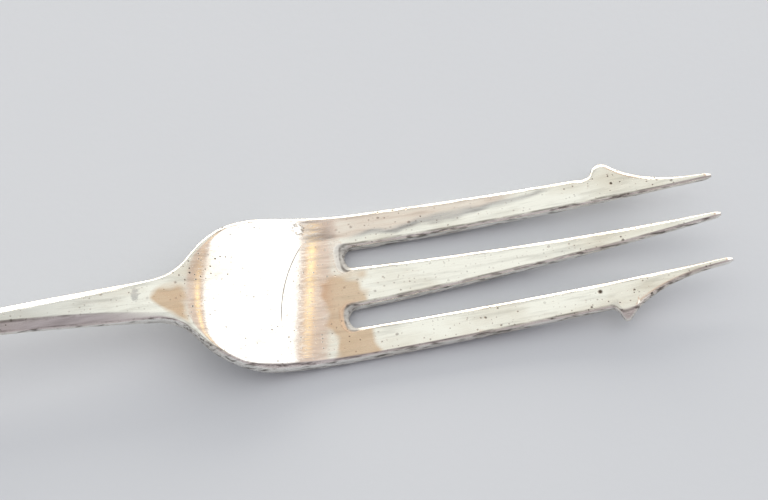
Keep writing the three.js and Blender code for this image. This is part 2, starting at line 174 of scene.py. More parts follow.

# Marks and smudges on the face, the painted pink reflection on the left tine, the painted dimmer top of
# the stem, and the yellow film at the neck and at the roots of the tines
IN_PLAN = (1, 1, 0)
SCRATCH_CENTRE = (57.3 * MM, -5 * MM, 0)
SCRATCH_RADIUS = 19.1 * MM
SCRATCH_WIDTH = 0.07 * MM
SCRATCH_X = (36 * MM, 44 * MM)
SCRATCH_Y = (-3.6 * MM, 5.4 * MM)
SCRATCH_FADE = 0.8 * MM
DEEP_PIT = (74.3 * MM, -6.4 * MM, 0)
DEEP_PIT_RADIUS = 0.32 * MM
PIT_JITTER = 0.2 * MM
KNOCK = (42 * MM, 8.55 * MM, 0)
KNOCK_JITTER = 1.2 * MM
KNOCK_RADIUS, KNOCK_RIM = 0.55 * MM, 0.18 * MM
CUT_ENDS = (44.9 * MM, 46.9 * MM)
CUT_SIDES = (7 * MM, 6.2 * MM)
CUT_FADE = 0.6 * MM
CUT_GREY = 0.6
FILM_WANDER = 3.5 * MM
FILM_SOFT = 0.5 * MM
FILM_POINT = 1.1
FILM_EDGE, FILM_SIDE = 3 * MM, 12 * MM
FILMS = ((25.3 * MM, 29.4 * MM, 0.72), (45.3 * MM, 50.1 * MM, 0.68))
# Painted dim reflection: the stem's top is painted a dimmer grey back from the neck
DIM_STEM_TOP = (24 * MM, 17 * MM)
DIM_STEM_TOP_SHARE = 0.24
SMUDGE_LEAN = 0.075
SMUDGE_WANDER = 1.6 * MM
SMUDGE_SIDES = (2.95 * MM, 3.65 * MM)
SMUDGE_SOFT = 0.35 * MM
SMUDGE_X = (48 * MM, 70 * MM)
# Painted pink reflection along the left tine's outer side
PINK_REFLECTION_X = (44 * MM, 66 * MM)
SMUDGE_FADE = 2 * MM
ROOT_SMUDGE_X = (41.8 * MM, 45.4 * MM)
ROOT_SMUDGE_FADE = 0.6 * MM
ROOT_SMUDGE_SHARE = 0.55
NECK_SMUDGE = (22.95 * MM, 1.3 * MM, 0)
NECK_SMUDGE_RADIUS = 0.7 * MM
NECK_SMUDGE_STRETCH = (1.3, 0.6, 0)
SMEAR_SHARE, SMEAR_ON_DULL = 0.25, 0.4
# Cell of each size of pit in millimetres, and the largest pit's radius as a share of it
PLATE_PITS = ((0.6, 0.21), (1.7, 0.13))
PIT_RARITY = 3.0
PIT_EDGE = (1.0, 0.55)
CROSS_LINE_TURN = math.radians(14)

# Bone, pin and cement
BONE_STAIN = 9 * MM
PORE_LARGEST = 0.42
NOISE_MIDDLE = 0.5
CRACK_WIDTH = (0.006, 0.002)
ROUND_PIN = (1, 0, 1)
PIN_LINE = 1.35
FILE_TURN = math.radians(35)

# Where a slope, the edge wear or a pattern starts to count in a finish, and where it counts in full
FACE_TILT = (0.4, 0.8)
EITHER_FACE_TILT = (0.5, 0.8)
# Painted shade: flecks on the bevels count more on walls that face right
SHADED_SIDE_TILT, SHADED_SIDE_SHARES = (0.1, -0.4), (0.3, 0.8)
CUT_TILT = (0.06, 0.1)
CUT_WEAR = (0.0, 0.08)
BEVEL_WEAR = (0.02, 0.35)
# Painted shade: the band of edge wear where a dark line is painted along every edge
EDGE_SHADE_WEAR, EDGE_SHADE_SOFT = (0.14, 0.42), 0.07
WORN_CLOUDS = (0.42, 0.72)
POLISH_LINES = (0.45, 0.7)
CROSS_LINES = (0.64, 0.74)
STREAKY, STREAKY_LEAST = (0.35, 0.62), 0.55
SMEARS = (0.5, 0.74)
KNOCK_DARK = (0.4, 0.54)
PIT_CROWDS, PIT_CROWDS_LEAST = (0.4, 0.65), 0.2
# Breaks in the painted dark line along the edges
BROKEN_EDGE_SHADE, BROKEN_SHARES = (0.38, 0.62), (0.1, 0.65)
FLECKS = (0.5, 0.66)
PORE_CROWDS, PORE_CROWDS_MOST = (0.42, 0.62), 0.7
CRACK_CLOUDS = (0.52, 0.6)
BONE_TONE, BONE_TONE_MOST = (0.4, 0.75), 0.35
NICKEL_SPOTS = (0.4, 0.65)
CEMENT_GRAINS = (0.5, 0.7)

# Shaders: the roughness before wear and pattern change it, and how light goes into bone
PLATE_ROUGHNESS, BONE_ROUGHNESS, NICKEL_ROUGHNESS = 0.06, 0.24, 0.22
CEMENT_ROUGHNESS, FLOOR_ROUGHNESS = 0.6, 0.55
BONE_IOR, BONE_TRANSLUCENCE, BONE_GLOW = 1.55, 0.15, 1.5 * MM

# Light: the sky's colour goes by how far a ray leans along the fork
SKY_LOW = (-0.9, -0.08)
SKY_WALL = (0.09, 0.295)
SKY_AMBER = (0.198, 0.244)
SKY_GLOW = (0.207, 0.236)
SKY_WHITE = (0.295, 0.9)
SKY_SOFT = 0.015
SKY_STRENGTH = 1.15
SKY_WHITE_GAIN = 1.4
SKY_AMBER_GAIN = 1.3
SKY_FAR_GAIN = 0.8
SKY_FAR = (0.62, 0.8)
SKY_ALOFT, SKY_ALOFT_LEAST = (0.3, 0.6), 0.3
SKY_AHEAD = (0.425, 0.56)
SKY_AHEAD_SOFT = 0.03
SKY_BEHIND = (0.0, -0.6)
WINDOW_PLACE = (0.1, 2.5, 0.77)
WINDOW_AIM = (0.03, 0, 0)
WINDOW_SIZE = (4.2, 1.05)
WINDOW_RADIANCE = 4.2
FLOOR_SIZE = 3.0
FLOOR_GAP = 0.05 * MM
FLOOR_SQUARES = 8
CAMERA_NEAR = 0.01

# Sockets of a Mix node that mixes colours, and of a Map Range node's limits
FACTOR, COLOUR_A, COLOUR_B, COLOUR_OUT = 0, 6, 7, 2
FROM, TO = ("From Min", "From Max"), ("To Min", "To Max")


def linear(code):
    """Linear RGBA of an sRGB hex colour such as E8DFCB."""
    channels = [int(code[at:at + 2], 16) / 255 for at in (0, 2, 4)]
    return (*(c / 12.92 if c <= 0.04045 else ((c + 0.055) / 1.055) ** 2.4 for c in channels), 1.0)


def length(name, description, millimetres):
    """A size in the sidebar, given in millimetres and kept in metres."""
    return FloatProperty(name=name, description=description, default=millimetres * MM, min=0.0,
                         unit="LENGTH", precision=5)


def colour(name, description, code):
    """A colour in the sidebar, given as an sRGB hex value."""
    return FloatVectorProperty(name=name, description=description, default=linear(code), size=4,
                               min=0.0, max=1.0, subtype="COLOR")


class ForkHeadSizes(PropertyGroup):
    """Sizes of the stamped fork head."""

    head_length: length("Head length", "From the neck to the tips of the tines", 65.7)
    head_width: length("Head width", "Across the shoulders", 19.4)
    tine_length: length("Tine length", "From the closed ends of the slots to the tips", 43.3)
    tine_thickness: length("Tine thickness", "Metal at the roots of the tines", 1.6)
    tip_width: length("Tip width", "Across the blunt tip of a tine", 0.75)
    tip_thickness: length("Tip thickness", "Metal at the tips", 0.9)
    tip_rise: length("Tip rise", "How far the tines curve up", 2.8)
    middle_tine_width: length("Middle tine width", "Across the root of the middle tine", 5.3)
    slot_width: length("Slot width", "Across the closed end of a slot", 2.6)
    barb_to_tip: length("Barb to tip", "From the barbs to the tips", 12.5)
    barb_reach: length("Barb reach", "From the middle line to the point of a barb", 10.4)
    barb_root: length("Barb root", "From the middle line to the edge behind a barb", 8.7)
    neck_width: length("Neck width", "Where the stem meets the head", 5.2)
    neck_thickness: length("Neck thickness", "Metal at the neck", 2.05)
    stem_length: length("Stem length", "From the bolster to the neck", 28)
    stem_width: length("Stem width", "Across the stem behind its taper", 3.1)
    stem_thickness: length("Stem thickness", "Height of the stem", 2.3)
    stem_bevel: length("Stem bevel", "Width of the bevel on each side of the stem", 1.2)
    bolster_length: length("Bolster length", "From the ferrule to the stem", 5)
    bolster_width: length("Bolster width", "Across the bolster's collar", 9.07)
    bolster_height: length("Bolster height", "Height of the bolster's collar", 7.87)
    collar_length: length("Collar length", "Full part of the bolster", 1.6)


class HandleSizes(PropertyGroup):
    """Sizes of the handle, its ferrule and its pin."""

    ferrule_wall: length("Ferrule wall", "Sheet that the ferrule is drawn from", 0.5)
    ferrule_face: length("Ferrule face", "Thickness of the ferrule's front", 0.8)
    ferrule_flare: length("Ferrule flare", "Gain in width from front to rear", 1.4)
    bead_length: length("Bead length", "Rolled bead at the ferrule's rear", 1.5)
    bead_rise: length("Bead rise", "Height of the bead over the sleeve", 0.35)
    shoulder_length: length("Shoulder length", "Where the oval front becomes flat sided", 12)
    corner_width: length("Corner width", "Rounding of the handle's long edges", 4)
    butt_length: length("Butt length", "Rounded end of the handle", 7)
    butt_width: length("Butt width", "Width that the handle grows to", 14.4)


class FinishColours(PropertyGroup):
    """Colours of the finishes."""

    silver: colour("Silver", "Polished silver plate", "F4F2EC")
    silver_worn: colour("Worn silver", "Plate worn to a warm grey", "DDD6CA")
    # Besides dull smudges and the die cut, this grey paints the stem's top dimmer, a painted dim
    # reflection
    silver_dull_and_dim: colour("Dull silver", "Plate dulled on the stem and in smudges", "B2B3B4")
    # A painted pink reflection on the left tine's upper face
    silver_pink_reflection: colour("Rosy silver", "Plate tinged pink on the left tine", "DFCFC5")
    tarnish: colour("Tarnish", "Yellow brown film in the hollows", "C9A57F")
    # Grime in pits, scratches and smears, and the painted shade of the dark lines and flecks along the
    # edges
    grime_and_edge_shade: colour("Grime", "Dirt in pits and scratches", "554C44")
    bone: colour("Bone", "Polished bone", "E6DBC1")
    bone_deep: colour("Deep bone", "Bone yellowed by handling", "CDAA72")
    bone_pore: colour("Bone pores", "Pores and hairline cracks", "7A5A38")
    cement: colour("Cement", "Resin cement", "4B3020")
    cement_dust: colour("Cement dust", "Paler grains in the cement", "7A5638")
    nickel: colour("Nickel silver", "Filed pin ends", "C8BFAE")
    nickel_dull: colour("Dull nickel silver", "Darkened pin ends", "8F8474")
    floor: colour("Floor", "Pale floor", "CFD3D9")
    floor_shade: colour("Floor shade", "Soft clouds in the floor", "C8CDD4")


class StageSettings(PropertyGroup):
    """Camera and light."""

    lens: FloatProperty(name="Lens", description="Focal length in millimetres", default=90.75)
    distance: length("Distance", "From the camera to its target", 224.6)
    target: FloatVectorProperty(name="Target", description="Point at the middle of the view",
                                default=(50.9 * MM, 4.25 * MM, 0.8 * MM), subtype="XYZ", precision=5)
    elevation: FloatProperty(name="Elevation", description="Camera's height over the horizon",
                             default=math.radians(60), subtype="ANGLE")
    roll: FloatProperty(name="Roll", description="How far the camera is turned about its view",
                        default=math.radians(9), subtype="ANGLE")
    sky: colour("Sky", "Cream light overhead", "EFF1EB")
    sky_warm: colour("Warm sky", "Pinkish wall beside the window", "DCCABF")
    sky_amber: colour("Amber", "Amber edge of the window", "FFC88C")
    sky_glow: colour("Glow", "Pale middle of the amber edge", "FFF0C4")
    sky_low: colour("Low sky", "Greyer light over the stem", "D9DBD8")
    sky_dim: colour("Dim sky", "Room behind the camera", "B0A8AD")
    window: colour("Window", "Warm white light of the window", "FFF8EC")


def lerp(start, end, share):
    """Value part way from start to end."""
    return start + (end - start) * share


def clamp(value):
    """Value held between 0 and 1."""
    return min(max(value, 0.0), 1.0)


def ease(value, start, end):
    """Smooth step from 0 at start to 1 at end."""
    share = clamp((value - start) / (end - start))
    return share * share * (3 - 2 * share)


def bump_at(value, middle, reach):
    """Smooth hump, 1 at the middle and 0 beyond its reach."""
    return 1 - ease(abs(value - middle), 0, reach)


def along(points, x):
    """Height at x of a line through points that go up in x."""
    for (x0, y0), (x1, y1) in zip(points, points[1:]):
        if x <= x1:
            return lerp(y0, y1, clamp((x - x0) / (x1 - x0)))
    return points[-1][1]


def sweep(start, first, second, end):
    """Points of a curve with two handles, without its start."""
    knots = [Vector((*point, 0)) for point in (start, first, second, end)]
    return [tuple(point.xy) for point in interpolate_bezier(*knots, CURVE_STEPS)][1:]


def bow(start, middle, end):
    """Points of a curve pulled towards one point, without its start."""
    first, second = [tuple(lerp(a, b, 2 / 3) for a, b in zip(knot, middle)) for knot in (start, end)]
    return sweep(start, first, second, end)


class ForkShape:
    """Plan, side view and sections of the fork head, worked out from its sizes."""

    def __init__(self, sizes):
        handle_low, handle_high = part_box("handle")
        self.sizes = sizes
        self.tip_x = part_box("fork_head")[1].x
        self.neck_x = self.tip_x - sizes.head_length
        self.slot_x = self.tip_x - sizes.tine_length
        self.barb_x = self.tip_x - sizes.barb_to_tip
        self.stem_x = self.neck_x - sizes.stem_length
        self.seat_x = self.stem_x - sizes.bolster_length
        self.collar_x = self.seat_x + sizes.collar_length
        self.axis_z = (handle_low.z + handle_high.z) / 2
        self.low_z = sizes.tine_thickness / 2
        self.slot_outer = sizes.middle_tine_width / 2 + sizes.slot_width
        self.edges = {side: self.plan_edge(side) for side in (LEFT, RIGHT)}
        self.middle_surface = self.side_view()

    def columns(self):
        """Places along the fork of the grid's columns, close together where the shape turns."""
        spans = (
            (self.collar_x, COLLAR_STEP),
            (self.stem_x, COVE_STEP),
            (self.neck_x - STEM_TAPER, STEM_STEP),
            (self.neck_x, TAPER_STEP),
            (self.slot_x - SLOT_BEVEL, BOWL_STEP),
            (self.slot_x, SLOT_BEVEL),
            (self.barb_x - BARB_FINE, TINE_STEP),
            (self.barb_x + BARB_FINE, BARB_STEP),
            (self.tip_x - TIP_ROUND, POINT_STEP),
            (self.tip_x, TIP_STEP),
        )
        places = [self.seat_x]
        for end, step in spans:
            start = places[-1]
            count = max(1, round((end - start) / step))
            places += [lerp(start, end, at / count) for at in range(1, count)] + [end]
        return places

    def plan_edge(self, side):
        """One outer edge in plan, from the bolster to the tip, as half widths along X."""
        sizes = self.sizes
        half = sizes.head_width / 2
        neck = sizes.neck_width / 2
        stem = sizes.stem_width / 2
        radius = SHOULDER_RADII[side]
        turn = math.acos(1 - (half - neck) / (NECK_RADIUS + radius))
        shoulder_x = self.neck_x + (NECK_RADIUS + radius) * math.sin(turn)
        points = [(self.stem_x, stem), (self.neck_x - STEM_TAPER, stem), (self.neck_x, neck)]
        turns = [turn * (at + 1) / CURVE_STEPS for at in range(CURVE_STEPS)]
        points += [(self.neck_x + NECK_RADIUS * math.sin(a), neck + NECK_RADIUS * (1 - math.cos(a)))
                   for a in turns]
        points += [(shoulder_x - radius * math.sin(a), half - radius * (1 - math.cos(a)))
                   for a in reversed([0.0] + turns[:-1])]
        return points + self.barb_edge(side)

    def barb_edge(self, side):
        """The barb and the front of an outer tine: the left barb worn round, the right one sharp."""
        sizes = self.sizes
        barb = BARBS[side]
        x = self.barb_x + barb.shift
        crest = barb.blunt / 2
        reach = sizes.barb_reach - barb.worn
        root = (x - BARB_BACK, sizes.barb_root)
        rear = (x - crest, reach - crest / 2)
        front = (x + crest, reach - crest / 2)
        tip = (self.tip_x, self.slot_outer + sizes.tip_width)
        points = [root]
        foot = x - max(BARB_BACK / 2, crest + BARB_SLACK)
        points += bow(root, (foot, sizes.barb_root), rear)
        points += bow(rear, (x, reach + crest / 2), front)
        points += bow(front, (x + BARB_FRONT, tip[1] + barb.hollow), tip)
        return points

    def side_view(self):
        """Height of the middle of the metal, from the bolster to the tips."""
        seat = (self.seat_x, self.axis_z)
        stem = (self.stem_x, self.axis_z)
        neck = (self.neck_x, self.axis_z - NECK_DROP)
        slot = (self.slot_x, self.low_z)
        tip = (self.tip_x, self.low_z + self.sizes.tip_rise)
        third = self.sizes.stem_length / 3
        bowl = self.slot_x - self.neck_x
        flat = bowl - NECK_STRAIGHT - NECK_TURN - ROOT_TURN
        bend = (self.neck_x + NECK_STRAIGHT, neck[1] - NECK_SLOPE * NECK_STRAIGHT)
        drop = bend[1] - self.low_z - NECK_SLOPE * NECK_TURN / 2
        fall = drop / (flat + (1 + BOWL_DISH) * NECK_TURN / 2 + (1 - BOWL_DISH) * ROOT_TURN / 2)
        steep = fall * (1 + BOWL_DISH)
        turned = (bend[0] + NECK_TURN, bend[1] - (NECK_SLOPE + steep) * NECK_TURN / 2)
        dish = (turned[0] + flat / 2, turned[1] - steep * flat / 2)
        root = (self.slot_x - ROOT_TURN, self.low_z + fall * (1 - BOWL_DISH) * ROOT_TURN / 2)
        points = [seat, stem]
        points += sweep(stem, (self.stem_x + third, self.axis_z + ARCH_PULL * STEM_ARCH),
                        (self.neck_x - NECK_BEND, neck[1] + NECK_SLOPE * NECK_BEND), neck)
        points += [bend]
        points += bow(bend, (bend[0] + NECK_TURN / 2, bend[1] - NECK_SLOPE * NECK_TURN / 2), turned)
        points += bow(turned, dish, root)
        points += bow(root, (self.slot_x - ROOT_TURN / 2, self.low_z), slot)
        points += bow(slot, ((self.slot_x + self.tip_x) / 2, self.low_z), tip)
        return points

    def thickness(self, x):
        """Metal at x: the stem, the neck, the roots of the tines and their tips."""
        sizes = self.sizes
        metal = lerp(sizes.stem_thickness, sizes.neck_thickness,
                     ease(x, self.neck_x - STEM_TAPER, self.neck_x))
        metal = lerp(metal, sizes.tine_thickness,
                     ease(x, self.neck_x - NECK_BEND, self.neck_x + NECK_THINS))
        return lerp(metal, sizes.tip_thickness, ease(x, self.slot_x, self.tip_x))

    def on_metal(self, x, y, off):
        """Point at y across the fork and off the middle of its metal, square to its slope."""
        slope = 0.0
        if x > self.stem_x:
            middle = min(x, self.tip_x - SLOPE_REACH)
            ahead = self.height(middle + SLOPE_REACH, y)
            slope = (ahead - self.height(middle - SLOPE_REACH, y)) / (2 * SLOPE_REACH)
        lean = math.hypot(1, slope)
        return Vector((min(x - off * slope / lean, self.tip_x), y, self.height(x, y) + off / lean))

    def height(self, x, y):
        """Middle of the metal: the bend at the neck is bowed, the one at the tines' roots askew."""
        skew = ROOT_SKEW * ease(x, self.neck_x, self.neck_x + ROOT_SKEW_RISE)
        skew *= 1 - ease(x, self.slot_x, self.tip_x)
        bowed = NECK_BOW * (1 - ease(x, self.neck_x + NECK_STRAIGHT, self.slot_x - ROOT_TURN))
        return along(self.middle_surface, x - skew * y - bowed * y * y)

    def edge(self, x, side):
        """Half width at x, with the small nicks in the outer edges."""
        half = along(self.edges[side], x)
        if side == LEFT:
            return half - LEFT_NICK_DEPTH * bump_at(x, LEFT_NICK_X, LEFT_NICK_LENGTH)
        return half - RIGHT_NICK_DEPTH * bump_at(x, RIGHT_NICK_X, RIGHT_NICK_LENGTH)

    def stem_corner(self, x, side, rank, level):
        """Section of the stem: a flat top between two bevels, and a rounded underside."""
        half = along(self.edges[side], x)
        bevel = self.sizes.stem_bevel
        flat = half - bevel
        places = [half, *(half - share * bevel for share in BEVEL_SHARES), flat]
        places += [(flat - STEM_RIDGE) * (MIDDLE_LINE - at) / (MIDDLE_LINE - FLAT_RANK)
                   for at in range(FLAT_RANK, MIDDLE_LINE + 1)]
        metal = self.thickness(x) / 2
        if level == TOP:
            filed = STEM_BEVELS[side]
            drop = filed.drop * clamp((places[rank] - flat) / bevel) ** filed.power
            return places[rank], metal - drop
        places = [half] + [(half - UNDERSIDE_ROUND) * (LINES - 2 * at) / (LINES - 2)
                           for at in range(1, MIDDLE_LINE + 1)]
        lift = UNDERSIDE_ROUND if rank == 0 else 0.0
        return places[rank], lift - metal

    def head_corner(self, x, side, rank, level):
        """Section of the head: two outer tines and the middle one, or their lines run back."""
        half = self.edge(x, side)
        inner = self.slot_outer
        spread = clamp((x - self.slot_x) / self.sizes.tine_length)
        middle = lerp(self.sizes.middle_tine_width, self.sizes.tip_width, spread) / 2
        if x < self.slot_x:
            inner *= half / self.edge(self.slot_x, side)
            middle *= half / self.edge(self.slot_x, side)
        lip = min(EDGE_LIPS[side], LIP_SHARE * (half - inner))
        inner_lip = min(EDGE_LIPS[-side], LIP_SHARE * (half - inner))
        middle_lip = min(EDGE_LIPS[side], LIP_SHARE * 2 * middle)
        places = [half, half - lip, (half + inner) / 2, inner + inner_lip, inner,
                  (inner + middle) / 2, middle, middle - middle_lip, 0.0]
        if side == RIGHT:
            places[1] = min(places[1], BARB_BEND_LINE)
        centre = (half + inner) / 2 if rank < SLOT_RANKS[1] else 0.0
        past = clamp((x - self.tip_x + TIP_ROUND) / TIP_ROUND)
        shrink = max(TIP_LEAST, math.sqrt(1 - past * past))
        metal = self.thickness(x) / 2
        if rank == 0 or (rank in SLOT_RANKS and x >= self.slot_x):
            metal -= min(EDGE_DROPS[level], metal / 2)
        return lerp(centre, places[rank], shrink), level * shrink * metal

    def collar_corner(self, x, rank, level):
        """Section of the bolster's oval collar."""
        edge = clamp(max(1 - (x - self.seat_x) / RIM_EDGE, 1 - (self.collar_x - x) / RIM_EDGE))
        inset = RIM_EDGE * edge * edge
        angle = OVAL_EDGE_ANGLE * (1 - rank / MIDDLE_LINE)
        across = (self.sizes.bolster_width / 2 - inset) * math.sin(angle)
        return across, level * (self.sizes.bolster_height / 2 - inset) * math.cos(angle)

    def corner(self, x, line, level):
        """Place of one corner of the grid on the finished fork head."""
        side = LEFT if line <= MIDDLE_LINE else RIGHT
        rank = min(line, LINES - line)
        head = self.head_corner(x, side, rank, level)
        stem = self.stem_corner(x, side, rank, level)
        share = ease(x, self.neck_x - STEM_TAPER / 2, self.neck_x + NECK_RADIUS)
        across, off = [lerp(a, b, share) for a, b in zip(stem, head)]
        if x < self.stem_x:
            collar = self.collar_corner(x, rank, level)
            cove = math.sin(math.pi / 2 * clamp((x - self.collar_x) / (self.stem_x - self.collar_x)))
            across, off = [lerp(a, b, cove) for a, b in zip(collar, (across, off))]
        if side == RIGHT:
            bent = ease(across, BARB_BEND_LINE, self.sizes.barb_reach)
            off += bent * (level * BARB_BEAD - BARB_BEND)
        lean = 0.0
        spread = clamp((x - self.slot_x) / self.sizes.tine_length)
        if rank >= SLOT_RANKS[0] - 1:
            lean = -SLOT_OFFSET * ease(x, self.neck_x, self.slot_x) * (1 - spread)
        if rank >= SLOT_RANKS[2]:
            lean += MIDDLE_TINE_LEAN * spread * spread
        if x == self.slot_x and rank in (SLOT_RANKS[0], SLOT_RANKS[2]):
            x += SLOT_CORNER
        if rank in SLOT_RANKS:
            x += SLOT_STAGGER[side] * bump_at(x, self.slot_x, SLOT_STAGGER_REACH)
        return self.on_metal(x, side * across + lean, off)


def finish_piece(bm, name, material, levels=0):
    """Makes a named object from a mesh in work, smooth and on the fork's one body."""
    bmesh.ops.recalc_face_normals(bm, faces=bm.faces)
    mesh = bpy.data.meshes.new(name)
    bm.to_mesh(mesh)
    bm.free()
    mesh.shade_smooth()
    mesh.materials.append(material)
    piece = bpy.data.objects.new(name, mesh)
    bpy.context.scene.collection.objects.link(piece)
    if levels:
        smooth = piece.modifiers.new("Rounded edges", "SUBSURF")
        smooth.levels = levels
        smooth.render_levels = levels
    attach(piece, BODY)
    return piece


def stamp_fork_head(shape):
    """The stamping: a grid with two slots cut out, given its thickness, then formed."""
    places = shape.columns()
    last = len(places) - 1
    bm = bmesh.new()
    bmesh.ops.create_grid(bm, x_segments=last, y_segments=LINES, size=1.0)
    column = bm.verts.layers.int.new("column")
    line = bm.verts.layers.int.new("line")
    level = bm.verts.layers.int.new("level")
    wear = bm.verts.layers.float.new("edge_wear_and_shade")
    fold = bm.edges.layers.float.new("crease_edge")
    for vert in bm.verts:
        vert[column] = round((vert.co.x + 1) / 2 * last)
        vert[line] = round((1 - vert.co.y) / 2 * LINES)
        vert[level] = TOP
    slots = []
    for face in bm.faces:
        ranks = {min(vert[line], LINES - vert[line]) for vert in face.verts}
        start = min(places[vert[column]] for vert in face.verts)
        if ranks <= set(SLOT_RANKS) and start >= shape.slot_x:
            slots.append(face)
    bmesh.ops.delete(bm, geom=slots, context="FACES")
    thickened = bmesh.ops.extrude_face_region(bm, geom=bm.faces[:], use_keep_orig=True)
    for vert in thickened["geom"]:
        if isinstance(vert, bmesh.types.BMVert):
            vert[level] = UNDERSIDE
    for vert in bm.verts:
        x = places[vert[column]]
        rank = min(vert[line], LINES - vert[line])
        at_slot = x >= shape.slot_x and rank in SLOT_RANKS
        # The stem's near crease carries a painted dark line, fading out past the neck
        at_crease = vert[line] == CREASE_LINE and vert[level] == TOP
        fade = 1 - ease(x, shape.neck_x - STEM_TAPER, shape.neck_x + NECK_RADIUS)
        vert[wear] = 1.0 if rank == 0 or at_slot else CREASE_SHADE * at_crease * fade
        vert.co = shape.corner(x, vert[line], vert[level])
    for edge in bm.edges:
        ends = {vert[line] for vert in edge.verts}
        start = min(places[vert[column]] for vert in edge.verts)
        half = min(shape.edge(places[vert[column]], RIGHT) for vert in edge.verts)
        if len(ends) > 1 or any(vert[level] != TOP for vert in edge.verts):
            continue
        if ends == {LINES - 1} and half > BARB_BEND_LINE:
            edge[fold] = BARB_FOLD
        on_edge = start >= shape.neck_x and ends <= set(FAR_EDGE_LINES)
        if on_edge or (start >= shape.slot_x and ends <= set(FAR_SLOT_LINES)):
            edge[fold] = EDGE_CREASE
    for layer in ("column", "line", "level"):
        bm.verts.layers.int.remove(bm.verts.layers.int[layer])
    return bm


def oval_place(spoke, spokes, half_width, half_height, corner):
    """Point of a flat-sided oval: flats above and below, elliptical corners between them."""
    quarter = spokes // 4
    turn, at = divmod(spoke, quarter)
    if turn % 2:
        at = quarter - 1 - at
    angle = math.pi / 2 * (at + 0.5) / (quarter - 0.5)
    across = half_width - corner + corner * math.cos(angle)
    up = half_height * math.sin(angle)
    return (across if turn in (0, 3) else -across), (up if turn in (0, 1) else -up)


def draw_rings(rings, spokes, closed):
    """A tube drawn through rings, each a function from spoke to place; closed joins its ends."""
    bm = bmesh.new()
    spoke = bm.verts.layers.int.new("spoke")
    bmesh.ops.create_circle(bm, segments=spokes, radius=1.0)
    for vert in bm.verts:
        vert[spoke] = round(math.atan2(vert.co.y, vert.co.x) / math.tau * spokes) % spokes
    ring_edges = bm.edges[:]
    ring_verts = bm.verts[:]
    first_edges = ring_edges
    loops = []
    for at, ring in enumerate(rings):
        if at:
            drawn = bmesh.ops.extrude_edge_only(bm, edges=ring_edges)["geom"]
            ring_verts = [part for part in drawn if isinstance(part, bmesh.types.BMVert)]
            fresh = set(ring_verts)
            ring_edges = [part for part in drawn
                          if isinstance(part, bmesh.types.BMEdge) and fresh.issuperset(part.verts)]
        for vert in ring_verts:
            vert.co = ring(vert[spoke])
        loops.append(ring_verts)
    if closed:
        bmesh.ops.bridge_loops(bm, edges=first_edges + ring_edges)
    else:
        for loop in (loops[0], loops[-1]):
            middle = sum((vert.co for vert in loop), Vector()) / len(loop)
            bmesh.ops.pointmerge(bm, verts=loop, merge_co=middle)
    bm.verts.layers.int.remove(bm.verts.layers.int["spoke"])
    return bm


def oval_ring(x, axis_z, half_width, half_height, corner):
    """A ring across the handle's axis, for draw_rings."""
    def place(spoke):
        across, up = oval_place(spoke, SPOKES, half_width, half_height, corner)
        return Vector((x, across, axis_z + up))
    return place


def draw_ferrule(sizes, head):
    """The ferrule: a tapered oval cup with a rolled bead at the rear, open behind."""
    low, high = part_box("ferrule")
    axis_z = (low.z + high.z) / 2
    front_half = head.bolster_width / 2
    oval = head.bolster_width / 2 - head.bolster_height / 2
    run = high.x - low.x

    def ring(x, grown):
        half = front_half + sizes.ferrule_flare / 2 * (high.x - x) / run + grown
        return oval_ring(x, axis_z, half, half - oval, OVAL_FULLNESS * half)

    hole = head.bolster_width * TANG_HOLE_SHARE / 2
    rings = [oval_ring(high.x, axis_z, hole, hole, OVAL_FULLNESS * hole)]
    for at in range(RIM_STEPS + 1):
        angle = math.pi / 2 * at / RIM_STEPS
        rings.append(ring(high.x - RIM_EDGE * (1 - math.cos(angle)), RIM_EDGE * (math.sin(angle) - 1)))
    for at in range(BEAD_STEPS + 1):
        angle = math.pi * at / BEAD_STEPS
        x = low.x + sizes.bead_length / 2 * (1 + math.cos(angle))
        rings.append(ring(x, sizes.bead_rise * math.sin(angle)))
    rings.append(ring(low.x, -sizes.ferrule_wall))
    rings.append(ring(high.x - sizes.ferrule_face, -sizes.ferrule_wall))
    rings.append(oval_ring(high.x - sizes.ferrule_face, axis_z, hole, hole, OVAL_FULLNESS * hole))
    return draw_rings(rings, SPOKES, closed=True)


